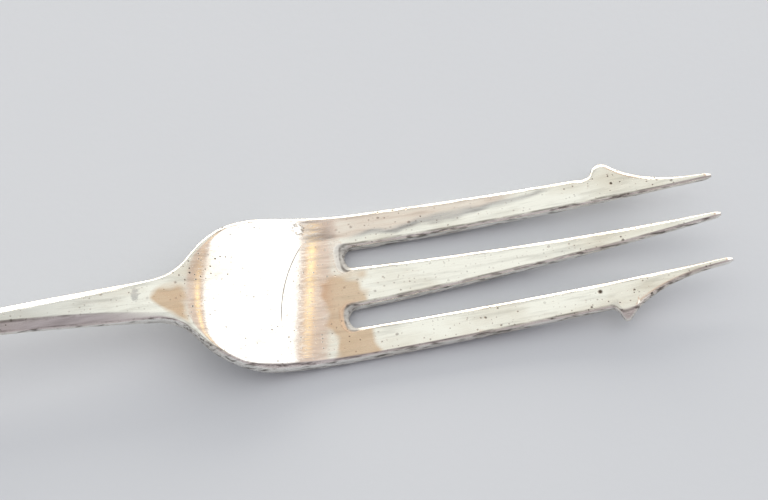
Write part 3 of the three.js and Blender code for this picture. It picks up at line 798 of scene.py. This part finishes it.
def carve_handle(sizes, head):
    """The handle: an oval front that grows flat sided, a domed butt, and a spigot in the ferrule."""
    low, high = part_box("handle")
    ferrule_low, ferrule_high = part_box("ferrule")
    face_x = ferrule_low.x - CEMENT_LINE
    axis_z = (low.z + high.z) / 2
    front_half = head.bolster_width / 2 + sizes.ferrule_flare / 2
    oval = head.bolster_width / 2 - head.bolster_height / 2
    full_height = (high.z - low.z) / 2

    def ring(x, inset=0.0):
        share = clamp((face_x - x) / (face_x - low.x))
        half = lerp(front_half, sizes.butt_width / 2, math.sin(share * math.pi / 2)) - inset
        seated = ease(face_x - x, 0, sizes.shoulder_length)
        height = lerp(front_half - oval, full_height, seated) - inset
        reach = clamp((low.x + sizes.butt_length - x) / sizes.butt_length)
        dome = (1 - reach ** BUTT_POWER) ** (1 / BUTT_POWER)
        half *= dome
        corner = min(lerp(half, sizes.corner_width * dome, seated), OVAL_FULLNESS * half)
        return oval_ring(x, axis_z, half, height * dome, corner)

    def spigot(x):
        half = front_half - sizes.ferrule_wall - CEMENT_LINE
        half -= sizes.ferrule_flare / 2 * (x - ferrule_low.x) / (ferrule_high.x - ferrule_low.x)
        return oval_ring(x, axis_z, half, half - oval, OVAL_FULLNESS * half)

    rings = []
    for at in range(BUTT_STEPS):
        angle = math.pi / 2 * at / BUTT_STEPS
        rings.append(ring(low.x + sizes.butt_length * (1 - math.cos(angle))))
    start = low.x + sizes.butt_length
    end = face_x - BONE_RIM
    rings += [ring(lerp(start, end, at / HANDLE_STEPS)) for at in range(HANDLE_STEPS + 1)]
    for at in range(RIM_STEPS):
        angle = math.pi / 2 * (at + 1) / RIM_STEPS
        rings.append(ring(end + BONE_RIM * math.sin(angle), BONE_RIM * (1 - math.cos(angle))))
    spigot_end = ferrule_high.x - sizes.ferrule_face - CEMENT_LINE
    rings += [spigot(face_x), spigot(spigot_end)]
    return draw_rings(rings, SPOKES, closed=False)


def file_tang_pin():
    """The cross pin: a wire through the handle with its ends filed to low domes."""
    low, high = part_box("tang_pin")
    radius = (high.x - low.x) / 2
    middle = (low + high) / 2
    half = (high.y - low.y) / 2

    def ring(y, share):
        def place(spoke):
            angle = math.tau * spoke / PIN_SPOKES
            return Vector((middle.x + share * radius * math.cos(angle), y,
                           middle.z + share * radius * math.sin(angle)))
        return place

    ends = [(half + steps * PIN_PROUD, share) for steps, share in PIN_DOME]
    rings = [ring(-y, share) for y, share in ends]
    rings += [ring(y, share) for y, share in reversed(ends)]
    return draw_rings(rings, PIN_SPOKES, closed=False)


def add(tree, kind, inputs=None, **settings):
    """Adds a node, with its settings, its fixed values and its links from other nodes.

    A tuple of sockets takes a tuple of values.
    """
    node = tree.nodes.new("ShaderNode" + kind)
    for name, value in settings.items():
        setattr(node, name, value)
    for sockets, values in (inputs or {}).items():
        pairs = zip(sockets, values) if isinstance(sockets, tuple) else ((sockets, values),)
        for socket, value in pairs:
            source = value.outputs[0] if isinstance(value, bpy.types.Node) else value
            if isinstance(source, bpy.types.NodeSocket):
                tree.links.new(source, node.inputs[socket])
            else:
                node.inputs[socket].default_value = source
    return node


def blank_material(name):
    """A new material, its empty tree and the surface's Object coordinates."""
    material = bpy.data.materials.new(name)
    material.use_nodes = True
    tree = material.node_tree
    tree.nodes.clear()
    return material, tree, add(tree, "TexCoord").outputs["Object"]


def cells(sizes_mm):
    """Scale of a pattern whose cells have these sizes along X, Y and Z."""
    return [1 / (size * MM) for size in sizes_mm]


def grain(tree, place, sizes_mm, detail, turn=0.0):
    """Cloudy or streaky noise with cells of these sizes, turned about the vertical."""
    spread = add(tree, "Mapping", {"Vector": place, "Rotation": (0, 0, turn), "Scale": cells(sizes_mm)})
    return add(tree, "TexNoise", {"Vector": spread, "Scale": 1.0, "Detail": detail})


def pits(tree, place, sizes_mm, largest, dimensions="3D"):
    """Pits of all sizes, few of them large: a pit's radius is a power of its cell's random number."""
    spread = add(tree, "Mapping", {"Vector": place, "Scale": cells(sizes_mm)})
    dots = add(tree, "TexVoronoi", {"Vector": spread, "Scale": 1.0}, voronoi_dimensions=dimensions)
    chance = add(tree, "SeparateColor", {"Color": dots.outputs["Color"]})
    radius = add(tree, "Math", {0: chance, 1: PIT_RARITY}, operation="POWER")
    radius = add(tree, "Math", {0: radius, 1: largest}, operation="MULTIPLY")
    share = add(tree, "Math", {0: dots.outputs["Distance"], 1: radius}, operation="DIVIDE")
    return add(tree, "MapRange", {"Value": share, FROM: PIT_EDGE})


def band(tree, value, start, end, soft):
    """1 where a value lies between start and end, with soft limits."""
    rise, fall = [add(tree, "MapRange", {"Value": value, FROM: limits}, interpolation_type="SMOOTHSTEP")
                  for limits in ((start - soft, start + soft), (end + soft, end - soft))]
    return masked(tree, rise, fall)


def masked(tree, factor, *masks):
    """A factor that each of several masks holds back."""
    for mask in masks:
        factor = add(tree, "Math", {0: factor, 1: mask}, operation="MULTIPLY")
    return factor


def strongest(tree, factor, *others):
    """The strongest of several factors at each point."""
    for other in others:
        factor = add(tree, "Math", {0: factor, 1: other}, operation="MAXIMUM")
    return factor


def away_from(tree, place, middle, across):
    """Distance from an axis through a point: across weighs the axes, and is 0 along the axis."""
    flat = add(tree, "VectorMath", {0: place, 1: across}, operation="MULTIPLY")
    centre = [a * b for a, b in zip(middle, across)]
    return add(tree, "VectorMath", {0: flat, 1: centre}, operation="DISTANCE").outputs["Value"]


def coats(tree, under, layers):
    """Colours laid one over another, each by its own factor."""
    for factor, over in layers:
        mixed = add(tree, "Mix", {FACTOR: factor, COLOUR_A: under, COLOUR_B: over}, data_type="RGBA")
        under = mixed.outputs[COLOUR_OUT]
    return under


def gains(tree, start, layers):
    """A value that each factor raises or lowers by its own amount."""
    for factor, amount in layers:
        start = add(tree, "Math", {0: factor, 1: amount, 2: start}, operation="MULTIPLY_ADD")
    return start


def relief(tree, layers):
    """A bumped normal from factors and their heights in millimetres."""
    return add(tree, "Bump", {"Height": gains(tree, 0.0, layers), "Distance": MM, "Strength": 1.0})


def worn_silver_plate(finish):
    """Silver plate on stamped nickel silver, hand polished and long used.

    To the eye: a soft mirror with fine lines along the fork, small dark pits, a long curved
    scratch in the bowl, a yellow film in the hollows, a painted pink reflection and a grey smudge
    on the left tine, the stem's top painted a dimmer grey as a painted dim reflection, greyer
    metal where edges rub, and painted shade in broken dark lines and flecks along the edges,
    heavier on those that face right.
    """
    material, tree, place = blank_material("worn_silver_plate")
    normal = add(tree, "SeparateXYZ", {0: add(tree, "NewGeometry").outputs["Normal"]})
    face = add(tree, "MapRange", {"Value": normal.outputs["Z"], FROM: FACE_TILT})
    either_face = add(tree, "Math", {0: normal.outputs["Z"]}, operation="ABSOLUTE")
    either_face = add(tree, "MapRange", {"Value": either_face, FROM: EITHER_FACE_TILT})
    # Edge wear, which also carries the painted dark line on the stem's near crease
    rubbed = add(tree, "Attribute", attribute_name="edge_wear_and_shade").outputs["Fac"]
    bevel = add(tree, "MapRange", {"Value": rubbed, FROM: BEVEL_WEAR})
    off_bevel = add(tree, "Math", {0: 1.0, 1: bevel}, operation="SUBTRACT")
    at = add(tree, "SeparateXYZ", {0: place}).outputs
    off_middle = add(tree, "Math", {0: at["Y"]}, operation="ABSOLUTE")

    clouds = grain(tree, place, (9, 5, 5), detail=5)
    worn = add(tree, "MapRange", {"Value": clouds, FROM: WORN_CLOUDS})
    ripple = grain(tree, place, (6, 4, 4), detail=1)
    patchy = grain(tree, place, (3.6, 2.8, 2.8), detail=1)
    fine = grain(tree, place, (0.5, 0.3, 0.3), detail=3)
    jitter, blurred = [add(tree, "VectorMath", {0: fine.outputs["Color"], 1: (reach,) * 3, 2: place},
                           operation="MULTIPLY_ADD") for reach in (PIT_JITTER, KNOCK_JITTER)]
    # Polish lines are a few microns wide; these are drawn a tenth of a millimetre wide to show
    hairlines = grain(tree, place, (12, 0.13, 0.13), detail=3)
    streaks = add(tree, "MapRange", {"Value": hairlines, FROM: POLISH_LINES})
    cross_lines = grain(tree, place, (7, 0.15, 0.6), detail=2, turn=CROSS_LINE_TURN)
    cross_lines = add(tree, "MapRange", {"Value": cross_lines, FROM: CROSS_LINES})
    smears = grain(tree, place, (6, 0.7, 0.7), detail=4)
    streaky = add(tree, "MapRange", {"Value": smears, FROM: STREAKY, "To Min": STREAKY_LEAST})
    smears = add(tree, "MapRange", {"Value": smears, FROM: SMEARS})

    # A pink reflection is painted along the left tine's outer side, down to a grey smudge that slants
    # across it
    across = gains(tree, at["Y"], ((at["X"], -SMUDGE_LEAN), (patchy, SMUDGE_WANDER)))
    outer = add(tree, "MapRange", {"Value": across, FROM: SMUDGE_SIDES},
                interpolation_type="SMOOTHSTEP")
    pink_reflection = masked(tree, outer, band(tree, at["X"], *PINK_REFLECTION_X, SMUDGE_FADE), streaky, face, off_bevel)
    smudge = masked(tree, band(tree, across, *SMUDGE_SIDES, SMUDGE_SOFT),
                    band(tree, at["X"], *SMUDGE_X, SMUDGE_FADE))
    root = masked(tree, band(tree, at["X"], *ROOT_SMUDGE_X, ROOT_SMUDGE_FADE), outer, ROOT_SMUDGE_SHARE)
    spot = away_from(tree, blurred, NECK_SMUDGE, NECK_SMUDGE_STRETCH)
    spot = add(tree, "MapRange", {"Value": spot, FROM: (NECK_SMUDGE_RADIUS, NECK_SMUDGE_RADIUS / 2)})
    smudge = masked(tree, strongest(tree, smudge, root, spot), streaky)
    # The stem's top is painted a dimmer grey back from the neck, a painted dim reflection; the smudges
    # dull the plate
    dull = add(tree, "MapRange", {"Value": at["X"], FROM: DIM_STEM_TOP, "To Max": DIM_STEM_TOP_SHARE})
    dull = masked(tree, strongest(tree, dull, smudge), face, off_bevel)
    smears = masked(tree, smears, gains(tree, SMEAR_SHARE, ((dull, SMEAR_ON_DULL),)))

    # Marks: the long scratch, the deep pit, the knock on the shoulder, and pits all over both faces
    arc = away_from(tree, place, SCRATCH_CENTRE, IN_PLAN)
    scratch = band(tree, arc, SCRATCH_RADIUS, SCRATCH_RADIUS + SCRATCH_WIDTH, SCRATCH_WIDTH / 2)
    scratch = masked(tree, scratch, band(tree, at["X"], *SCRATCH_X, SCRATCH_FADE),
                     band(tree, at["Y"], *SCRATCH_Y, SCRATCH_FADE))
    deep = away_from(tree, jitter, DEEP_PIT, IN_PLAN)
    deep = add(tree, "MapRange", {"Value": deep, FROM: (DEEP_PIT_RADIUS, DEEP_PIT_RADIUS / 2)})
    knock = away_from(tree, blurred, KNOCK, IN_PLAN)
    knock = masked(tree, band(tree, knock, KNOCK_RADIUS, KNOCK_RADIUS + KNOCK_RIM, KNOCK_RIM),
                   add(tree, "MapRange", {"Value": fine, FROM: KNOCK_DARK}))
    marks = masked(tree, strongest(tree, deep, scratch), face)
    crowded = add(tree, "MapRange", {"Value": clouds, FROM: PIT_CROWDS, "To Min": PIT_CROWDS_LEAST})
    for size, largest in PLATE_PITS:
        dots = pits(tree, jitter, (size, size, size), largest, "2D")
        marks = strongest(tree, marks, masked(tree, dots, crowded, either_face))

    # Broken dark lines along the edges are painted shade; flecks of grime lie on the bevels, painted
    # heavier on walls that face right, which is painted shade too
    broken = grain(tree, place, (2.5, 1, 1), detail=3)
    broken = add(tree, "MapRange", {"Value": broken, FROM: BROKEN_EDGE_SHADE, TO: BROKEN_SHARES})
    flecks = grain(tree, place, (1.6, 0.35, 0.35), detail=3)
    flecks = add(tree, "MapRange", {"Value": flecks, FROM: FLECKS})
    shaded_side = add(tree, "MapRange", {"Value": normal.outputs["Y"], FROM: SHADED_SIDE_TILT, TO: SHADED_SIDE_SHARES})
    edge_shade_and_grime = masked(tree, band(tree, rubbed, *EDGE_SHADE_WEAR, EDGE_SHADE_SOFT), broken)
    edge_shade_and_grime = strongest(tree, edge_shade_and_grime, masked(tree, flecks, bevel, shaded_side))

    # The closed ends of the slots keep the rough cut of the die
    cut_edge = add(tree, "MapRange", {"Value": rubbed, FROM: CUT_WEAR})
    turned = add(tree, "MapRange", {"Value": normal.outputs["X"], FROM: CUT_TILT})
    inside = add(tree, "MapRange", {"Value": off_middle, FROM: CUT_SIDES})
    die_cut = masked(tree, band(tree, at["X"], *CUT_ENDS, CUT_FADE), strongest(tree, cut_edge, turned),
                     inside)
    cut_grey = masked(tree, die_cut, CUT_GREY)

    # The yellow film lies in patches, and the one at the neck starts in a point on the middle line
    wander, side = [gains(tree, at[axis], ((patchy, FILM_WANDER),)) for axis in "XY"]
    patches = [masked(tree, band(tree, wander, start, end, FILM_SOFT), strength)
               for start, end, strength in FILMS]
    neck = FILMS[0][0]
    point = add(tree, "MapRange", {"Value": gains(tree, wander, ((off_middle, -FILM_POINT),)),
                                   FROM: (neck - FILM_SOFT, neck + FILM_SOFT)})
    film = masked(tree, strongest(tree, *patches), face, off_bevel, point,
                  band(tree, side, -FILM_SIDE, FILM_EDGE, FILM_SOFT))

    base = coats(tree, finish.silver, (
        (worn, finish.silver_worn), (pink_reflection, finish.silver_pink_reflection), (dull, finish.silver_dull_and_dim),
        (cut_grey, finish.silver_dull_and_dim), (film, finish.tarnish), (smears, finish.grime_and_edge_shade),
        (edge_shade_and_grime, finish.grime_and_edge_shade), (knock, finish.grime_and_edge_shade), (marks, finish.grime_and_edge_shade)))
    rough = gains(tree, PLATE_ROUGHNESS, (
        (worn, 0.05), (streaks, 0.16), (cross_lines, 0.05), (film, 0.12), (marks, 0.4),
        (bevel, 0.15), (die_cut, 0.55), (dull, 0.2)))
    height = relief(tree, ((ripple, 0.012), (hairlines, 0.004), (cross_lines, -0.001),
                           (knock, -0.008), (marks, -0.012)))
    shader = add(tree, "BsdfPrincipled", {"Base Color": base, "Metallic": 1.0, "Roughness": rough,
                                          "Normal": height})
    add(tree, "OutputMaterial", {"Surface": shader})
    return material


def polished_bone(finish):
    """Bone sawn along the shaft, scraped and polished, yellowed by washing and hands.

    To the eye: warm cream with fine streaks along its length, short dark pores, a few
    hairline cracks, deeper yellow at the ferrule and the butt, and a dark line round the pin.
    """
    material, tree, place = blank_material("polished_bone")
    pin_low, pin_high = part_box("tang_pin")
    pin_radius = (pin_high.x - pin_low.x) / 2
    x = add(tree, "SeparateXYZ", {0: place}).outputs["X"]
    streaks = grain(tree, place, (26, 0.7, 0.7), detail=4)
    clouds = grain(tree, place, (16, 6, 6), detail=3)
    crowded = add(tree, "MapRange", {"Value": clouds, FROM: PORE_CROWDS, "To Max": PORE_CROWDS_MOST})
    pores = masked(tree, pits(tree, place, (1.8, 0.3, 0.3), PORE_LARGEST), crowded)
    off_line = grain(tree, place, (40, 2.4, 2.4), detail=3)
    off_line = add(tree, "Math", {0: off_line, 1: NOISE_MIDDLE}, operation="SUBTRACT")
    off_line = add(tree, "Math", {0: off_line}, operation="ABSOLUTE")
    cracks = masked(tree, add(tree, "MapRange", {"Value": off_line, FROM: CRACK_WIDTH}),
                    add(tree, "MapRange", {"Value": clouds, FROM: CRACK_CLOUDS}))
    stain = 0.0
    for end, inward in ((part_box("ferrule")[0].x, -BONE_STAIN), (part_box("handle")[0].x, BONE_STAIN)):
        near = add(tree, "MapRange", {"Value": x, FROM: (end + inward, end)})
        stain = add(tree, "Math", {0: near, 1: stain}, operation="ADD")
    stain = masked(tree, stain, clouds)
    tone = add(tree, "MapRange", {"Value": streaks, FROM: BONE_TONE, "To Max": BONE_TONE_MOST})
    pin_away = away_from(tree, place, (pin_low + pin_high) / 2, ROUND_PIN)
    pin_line = add(tree, "MapRange", {"Value": pin_away, FROM: (PIN_LINE * pin_radius, pin_radius)})

    base = coats(tree, finish.bone, (
        (tone, finish.bone_deep), (stain, finish.bone_deep), (pores, finish.bone_pore),
        (cracks, finish.bone_pore), (pin_line, finish.bone_pore)))
    rough = gains(tree, BONE_ROUGHNESS, ((streaks, 0.16), (pores, 0.3), (cracks, 0.3)))
    height = relief(tree, ((streaks, 0.012), (clouds, 0.05), (pores, -0.03), (cracks, -0.05)))
    shader = add(tree, "BsdfPrincipled", {
        "Base Color": base, "Roughness": rough, "IOR": BONE_IOR, "Normal": height,
        "Subsurface Weight": BONE_TRANSLUCENCE, "Subsurface Scale": BONE_GLOW})
    add(tree, "OutputMaterial", {"Surface": shader})
    return material


def filed_nickel_silver(finish):
    """Nickel silver wire, filed off and rubbed down with the bone.

    To the eye: a dull grey disc with file lines one way and darker spots.
    """
    material, tree, place = blank_material("filed_nickel_silver")
    file_lines = grain(tree, place, (0.09, 1.2, 0.6), detail=3, turn=FILE_TURN)
    spots = grain(tree, place, (0.5, 0.5, 0.5), detail=3)
    dull = add(tree, "MapRange", {"Value": spots, FROM: NICKEL_SPOTS})
    base = coats(tree, finish.nickel, ((dull, finish.nickel_dull),))
    rough = gains(tree, NICKEL_ROUGHNESS, ((dull, 0.25), (file_lines, 0.15)))
    height = relief(tree, ((file_lines, 0.004), (spots, 0.006)))
    shader = add(tree, "BsdfPrincipled", {"Base Color": base, "Metallic": 1.0, "Roughness": rough,
                                          "Normal": height})
    add(tree, "OutputMaterial", {"Surface": shader})
    return material


def resin_cement(finish):
    """Rosin and brick dust, poured hot round the tang and left to set.

    To the eye: dull brown with paler grains.
    """
    material, tree, place = blank_material("resin_cement")
    dust = grain(tree, place, (0.4, 0.4, 0.4), detail=4)
    grains = add(tree, "MapRange", {"Value": dust, FROM: CEMENT_GRAINS})
    base = coats(tree, finish.cement, ((grains, finish.cement_dust),))
    rough = gains(tree, CEMENT_ROUGHNESS, ((grains, 0.25),))
    height = relief(tree, ((dust, 0.06),))
    shader = add(tree, "BsdfPrincipled", {"Base Color": base, "Roughness": rough, "Normal": height})
    add(tree, "OutputMaterial", {"Surface": shader})
    return material


def painted_board(finish):
    """Pale painted board, rolled and flat.

    To the eye: an even off-white with a faint roller texture.
    """
    material, tree, place = blank_material("painted_board")
    clouds = grain(tree, place, (60, 60, 60), detail=3)
    nap = grain(tree, place, (0.8, 0.8, 0.8), detail=2)
    base = coats(tree, finish.floor, ((clouds, finish.floor_shade),))
    rough = gains(tree, FLOOR_ROUGHNESS, ((nap, 0.2),))
    height = relief(tree, ((nap, 0.01),))
    shader = add(tree, "BsdfPrincipled", {"Base Color": base, "Roughness": rough, "Normal": height})
    add(tree, "OutputMaterial", {"Surface": shader})
    return material


def hang_sky(stage):
    """Soft light all round: cream overhead, a pinkish wall, and a white window beside it."""
    world = bpy.data.worlds.new("studio")
    bpy.context.scene.world = world
    world.use_nodes = True
    tree = world.node_tree
    tree.nodes.clear()
    ray = add(tree, "SeparateXYZ", {0: add(tree, "TexCoord").outputs["Generated"]}).outputs
    aloft = add(tree, "MapRange", {"Value": ray["Z"], FROM: SKY_ALOFT, "To Min": SKY_ALOFT_LEAST})
    ahead = band(tree, ray["Y"], *SKY_AHEAD, SKY_AHEAD_SOFT)
    far = add(tree, "MapRange", {"Value": ray["Y"], FROM: SKY_FAR})
    behind = add(tree, "MapRange", {"Value": ray["Y"], FROM: SKY_BEHIND})
    amber = [SKY_AMBER_GAIN * tone for tone in stage.sky_amber]
    glow = [SKY_AMBER_GAIN * tone for tone in stage.sky_glow]
    white = [SKY_WHITE_GAIN] * 4
    layers = [(far, [SKY_FAR_GAIN * tone for tone in stage.sky])]
    for limits, over, where in ((SKY_LOW, stage.sky_low, aloft), (SKY_WALL, stage.sky_warm, aloft),
                                (SKY_AMBER, amber, ahead), (SKY_GLOW, glow, ahead),
                                (SKY_WHITE, white, aloft)):
        layers.append((masked(tree, band(tree, ray["X"], *limits, SKY_SOFT), where), over))
    layers.append((behind, stage.sky_dim))
    sky = coats(tree, stage.sky, layers)
    light = add(tree, "Background", {"Color": sky, "Strength": SKY_STRENGTH})
    add(tree, "OutputWorld", {"Surface": light})


def softbox(name, spot, aim, size, radiance, tone):
    """An oblong area light of even brightness, placed and aimed."""
    lamp = bpy.data.lights.new(name, "AREA")
    lamp.shape = "RECTANGLE"
    lamp.size, lamp.size_y = size
    lamp.energy = radiance * math.pi * size[0] * size[1]
    lamp.color = tone[:3]
    light = bpy.data.objects.new(name, lamp)
    bpy.context.scene.collection.objects.link(light)
    turn = (Vector(aim) - Vector(spot)).to_track_quat("-Z", "Y")
    light.matrix_world = Matrix.LocRotScale(Vector(spot), turn, None)


def set_camera(stage):
    """The camera at the photograph's angle, rolled so that the fork climbs to the right."""
    lens = bpy.data.cameras.new("camera")
    lens.lens = stage.lens
    lens.clip_start = CAMERA_NEAR
    camera = bpy.data.objects.new("camera", lens)
    bpy.context.scene.collection.objects.link(camera)
    back = Vector((0, -math.cos(stage.elevation), math.sin(stage.elevation)))
    level = Vector((1, 0, 0))
    upright = back.cross(level)
    right = level * math.cos(stage.roll) - upright * math.sin(stage.roll)
    up = level * math.sin(stage.roll) + upright * math.cos(stage.roll)
    turn = Matrix((right, up, back)).transposed().to_4x4()
    camera.matrix_world = Matrix.Translation(Vector(stage.target) + back * stage.distance) @ turn
    bpy.context.scene.camera = camera


class FISHFORK_OT_stage(Operator):
    """Set the camera, the pale floor and the soft light"""

    bl_idname = "fish_fork.stage"
    bl_label = "Stage"

    def execute(self, context):
        scene = context.scene
        stage = scene.fork_stage
        set_camera(stage)
        hang_sky(stage)
        softbox("window", WINDOW_PLACE, WINDOW_AIM, WINDOW_SIZE, WINDOW_RADIANCE, stage.window)
        scene.view_settings.view_transform = "Standard"
        bm = bmesh.new()
        bmesh.ops.create_grid(bm, x_segments=FLOOR_SQUARES, y_segments=FLOOR_SQUARES,
                              size=FLOOR_SIZE / 2)
        bmesh.ops.translate(bm, verts=bm.verts, vec=(0, 0, CAD_BOX[0].z - FLOOR_GAP))
        mesh = bpy.data.meshes.new("floor")
        bm.to_mesh(mesh)
        bm.free()
        mesh.materials.append(painted_board(scene.fork_colours))
        floor = bpy.data.objects.new("floor", mesh)
        scene.collection.objects.link(floor)
        return {"FINISHED"}


class FISHFORK_OT_fork_head(Operator):
    """Build the stamped and plated fork head"""

    bl_idname = "fish_fork.fork_head"
    bl_label = "Fork head"

    def execute(self, context):
        scene = context.scene
        bm = stamp_fork_head(ForkShape(scene.fork_head_sizes))
        plate = worn_silver_plate(scene.fork_colours)
        piece = finish_piece(bm, "plated_fork_head", plate, SMOOTH_LEVELS)
        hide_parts("fork_head")
        return {"FINISHED"}


class FISHFORK_OT_ferrule(Operator):
    """Build the plated ferrule"""

    bl_idname = "fish_fork.ferrule"
    bl_label = "Ferrule"

    def execute(self, context):
        scene = context.scene
        bm = draw_ferrule(scene.fork_handle_sizes, scene.fork_head_sizes)
        plate = bpy.data.materials["worn_silver_plate"]
        piece = finish_piece(bm, "beaded_ferrule", plate)
        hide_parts("ferrule")
        return {"FINISHED"}


class FISHFORK_OT_handle(Operator):
    """Build the bone handle"""

    bl_idname = "fish_fork.handle"
    bl_label = "Handle"

    def execute(self, context):
        scene = context.scene
        bm = carve_handle(scene.fork_handle_sizes, scene.fork_head_sizes)
        piece = finish_piece(bm, "bone_handle", polished_bone(scene.fork_colours))
        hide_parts("handle")
        return {"FINISHED"}


class FISHFORK_OT_tang(Operator):
    """Build the tang's pin and finish the cement round the tang"""

    bl_idname = "fish_fork.tang"
    bl_label = "Tang pin and cement"

    def execute(self, context):
        colours = context.scene.fork_colours
        wire = filed_nickel_silver(colours)
        piece = finish_piece(file_tang_pin(), "filed_tang_pin", wire)
        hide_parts("tang_pin")
        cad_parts["tang_cement"].material_slots[0].material = resin_cement(colours)
        return {"FINISHED"}


OPERATORS = (FISHFORK_OT_stage, FISHFORK_OT_fork_head, FISHFORK_OT_ferrule, FISHFORK_OT_handle,
             FISHFORK_OT_tang)


class FISHFORK_PT_panel(Panel):
    """The fork's pieces and settings in the 3D view's sidebar"""

    bl_idname = "FISHFORK_PT_panel"
    bl_label = "Fish fork"
    bl_space_type = "VIEW_3D"
    bl_region_type = "UI"
    bl_category = "Fish fork"

    def draw(self, context):
        for operator in OPERATORS:
            self.layout.operator(operator.bl_idname)
        for name in SETTINGS:
            group = getattr(context.scene, name)
            box = self.layout.box()
            for prop in group.bl_rna.properties:
                if prop.identifier not in ("rna_type", "name"):
                    box.prop(group, prop.identifier)


SETTINGS = {"fork_head_sizes": ForkHeadSizes, "fork_handle_sizes": HandleSizes,
            "fork_colours": FinishColours, "fork_stage": StageSettings}
CLASSES = (*SETTINGS.values(), *OPERATORS, FISHFORK_PT_panel)


def register():
    """Add the classes, and their settings to every scene."""
    for cls in CLASSES:
        bpy.utils.register_class(cls)
    for name, group in SETTINGS.items():
        setattr(bpy.types.Scene, name, PointerProperty(type=group))


def unregister():
    """Take the settings and the classes away."""
    for name in SETTINGS:
        delattr(bpy.types.Scene, name)
    for cls in reversed(CLASSES):
        bpy.utils.unregister_class(cls)


def main():
    register()
    bpy.ops.fish_fork.stage()
    bpy.ops.fish_fork.fork_head()
    bpy.ops.fish_fork.ferrule()
    bpy.ops.fish_fork.handle()
    bpy.ops.fish_fork.tang()


if __name__ == "__main__":
    main()
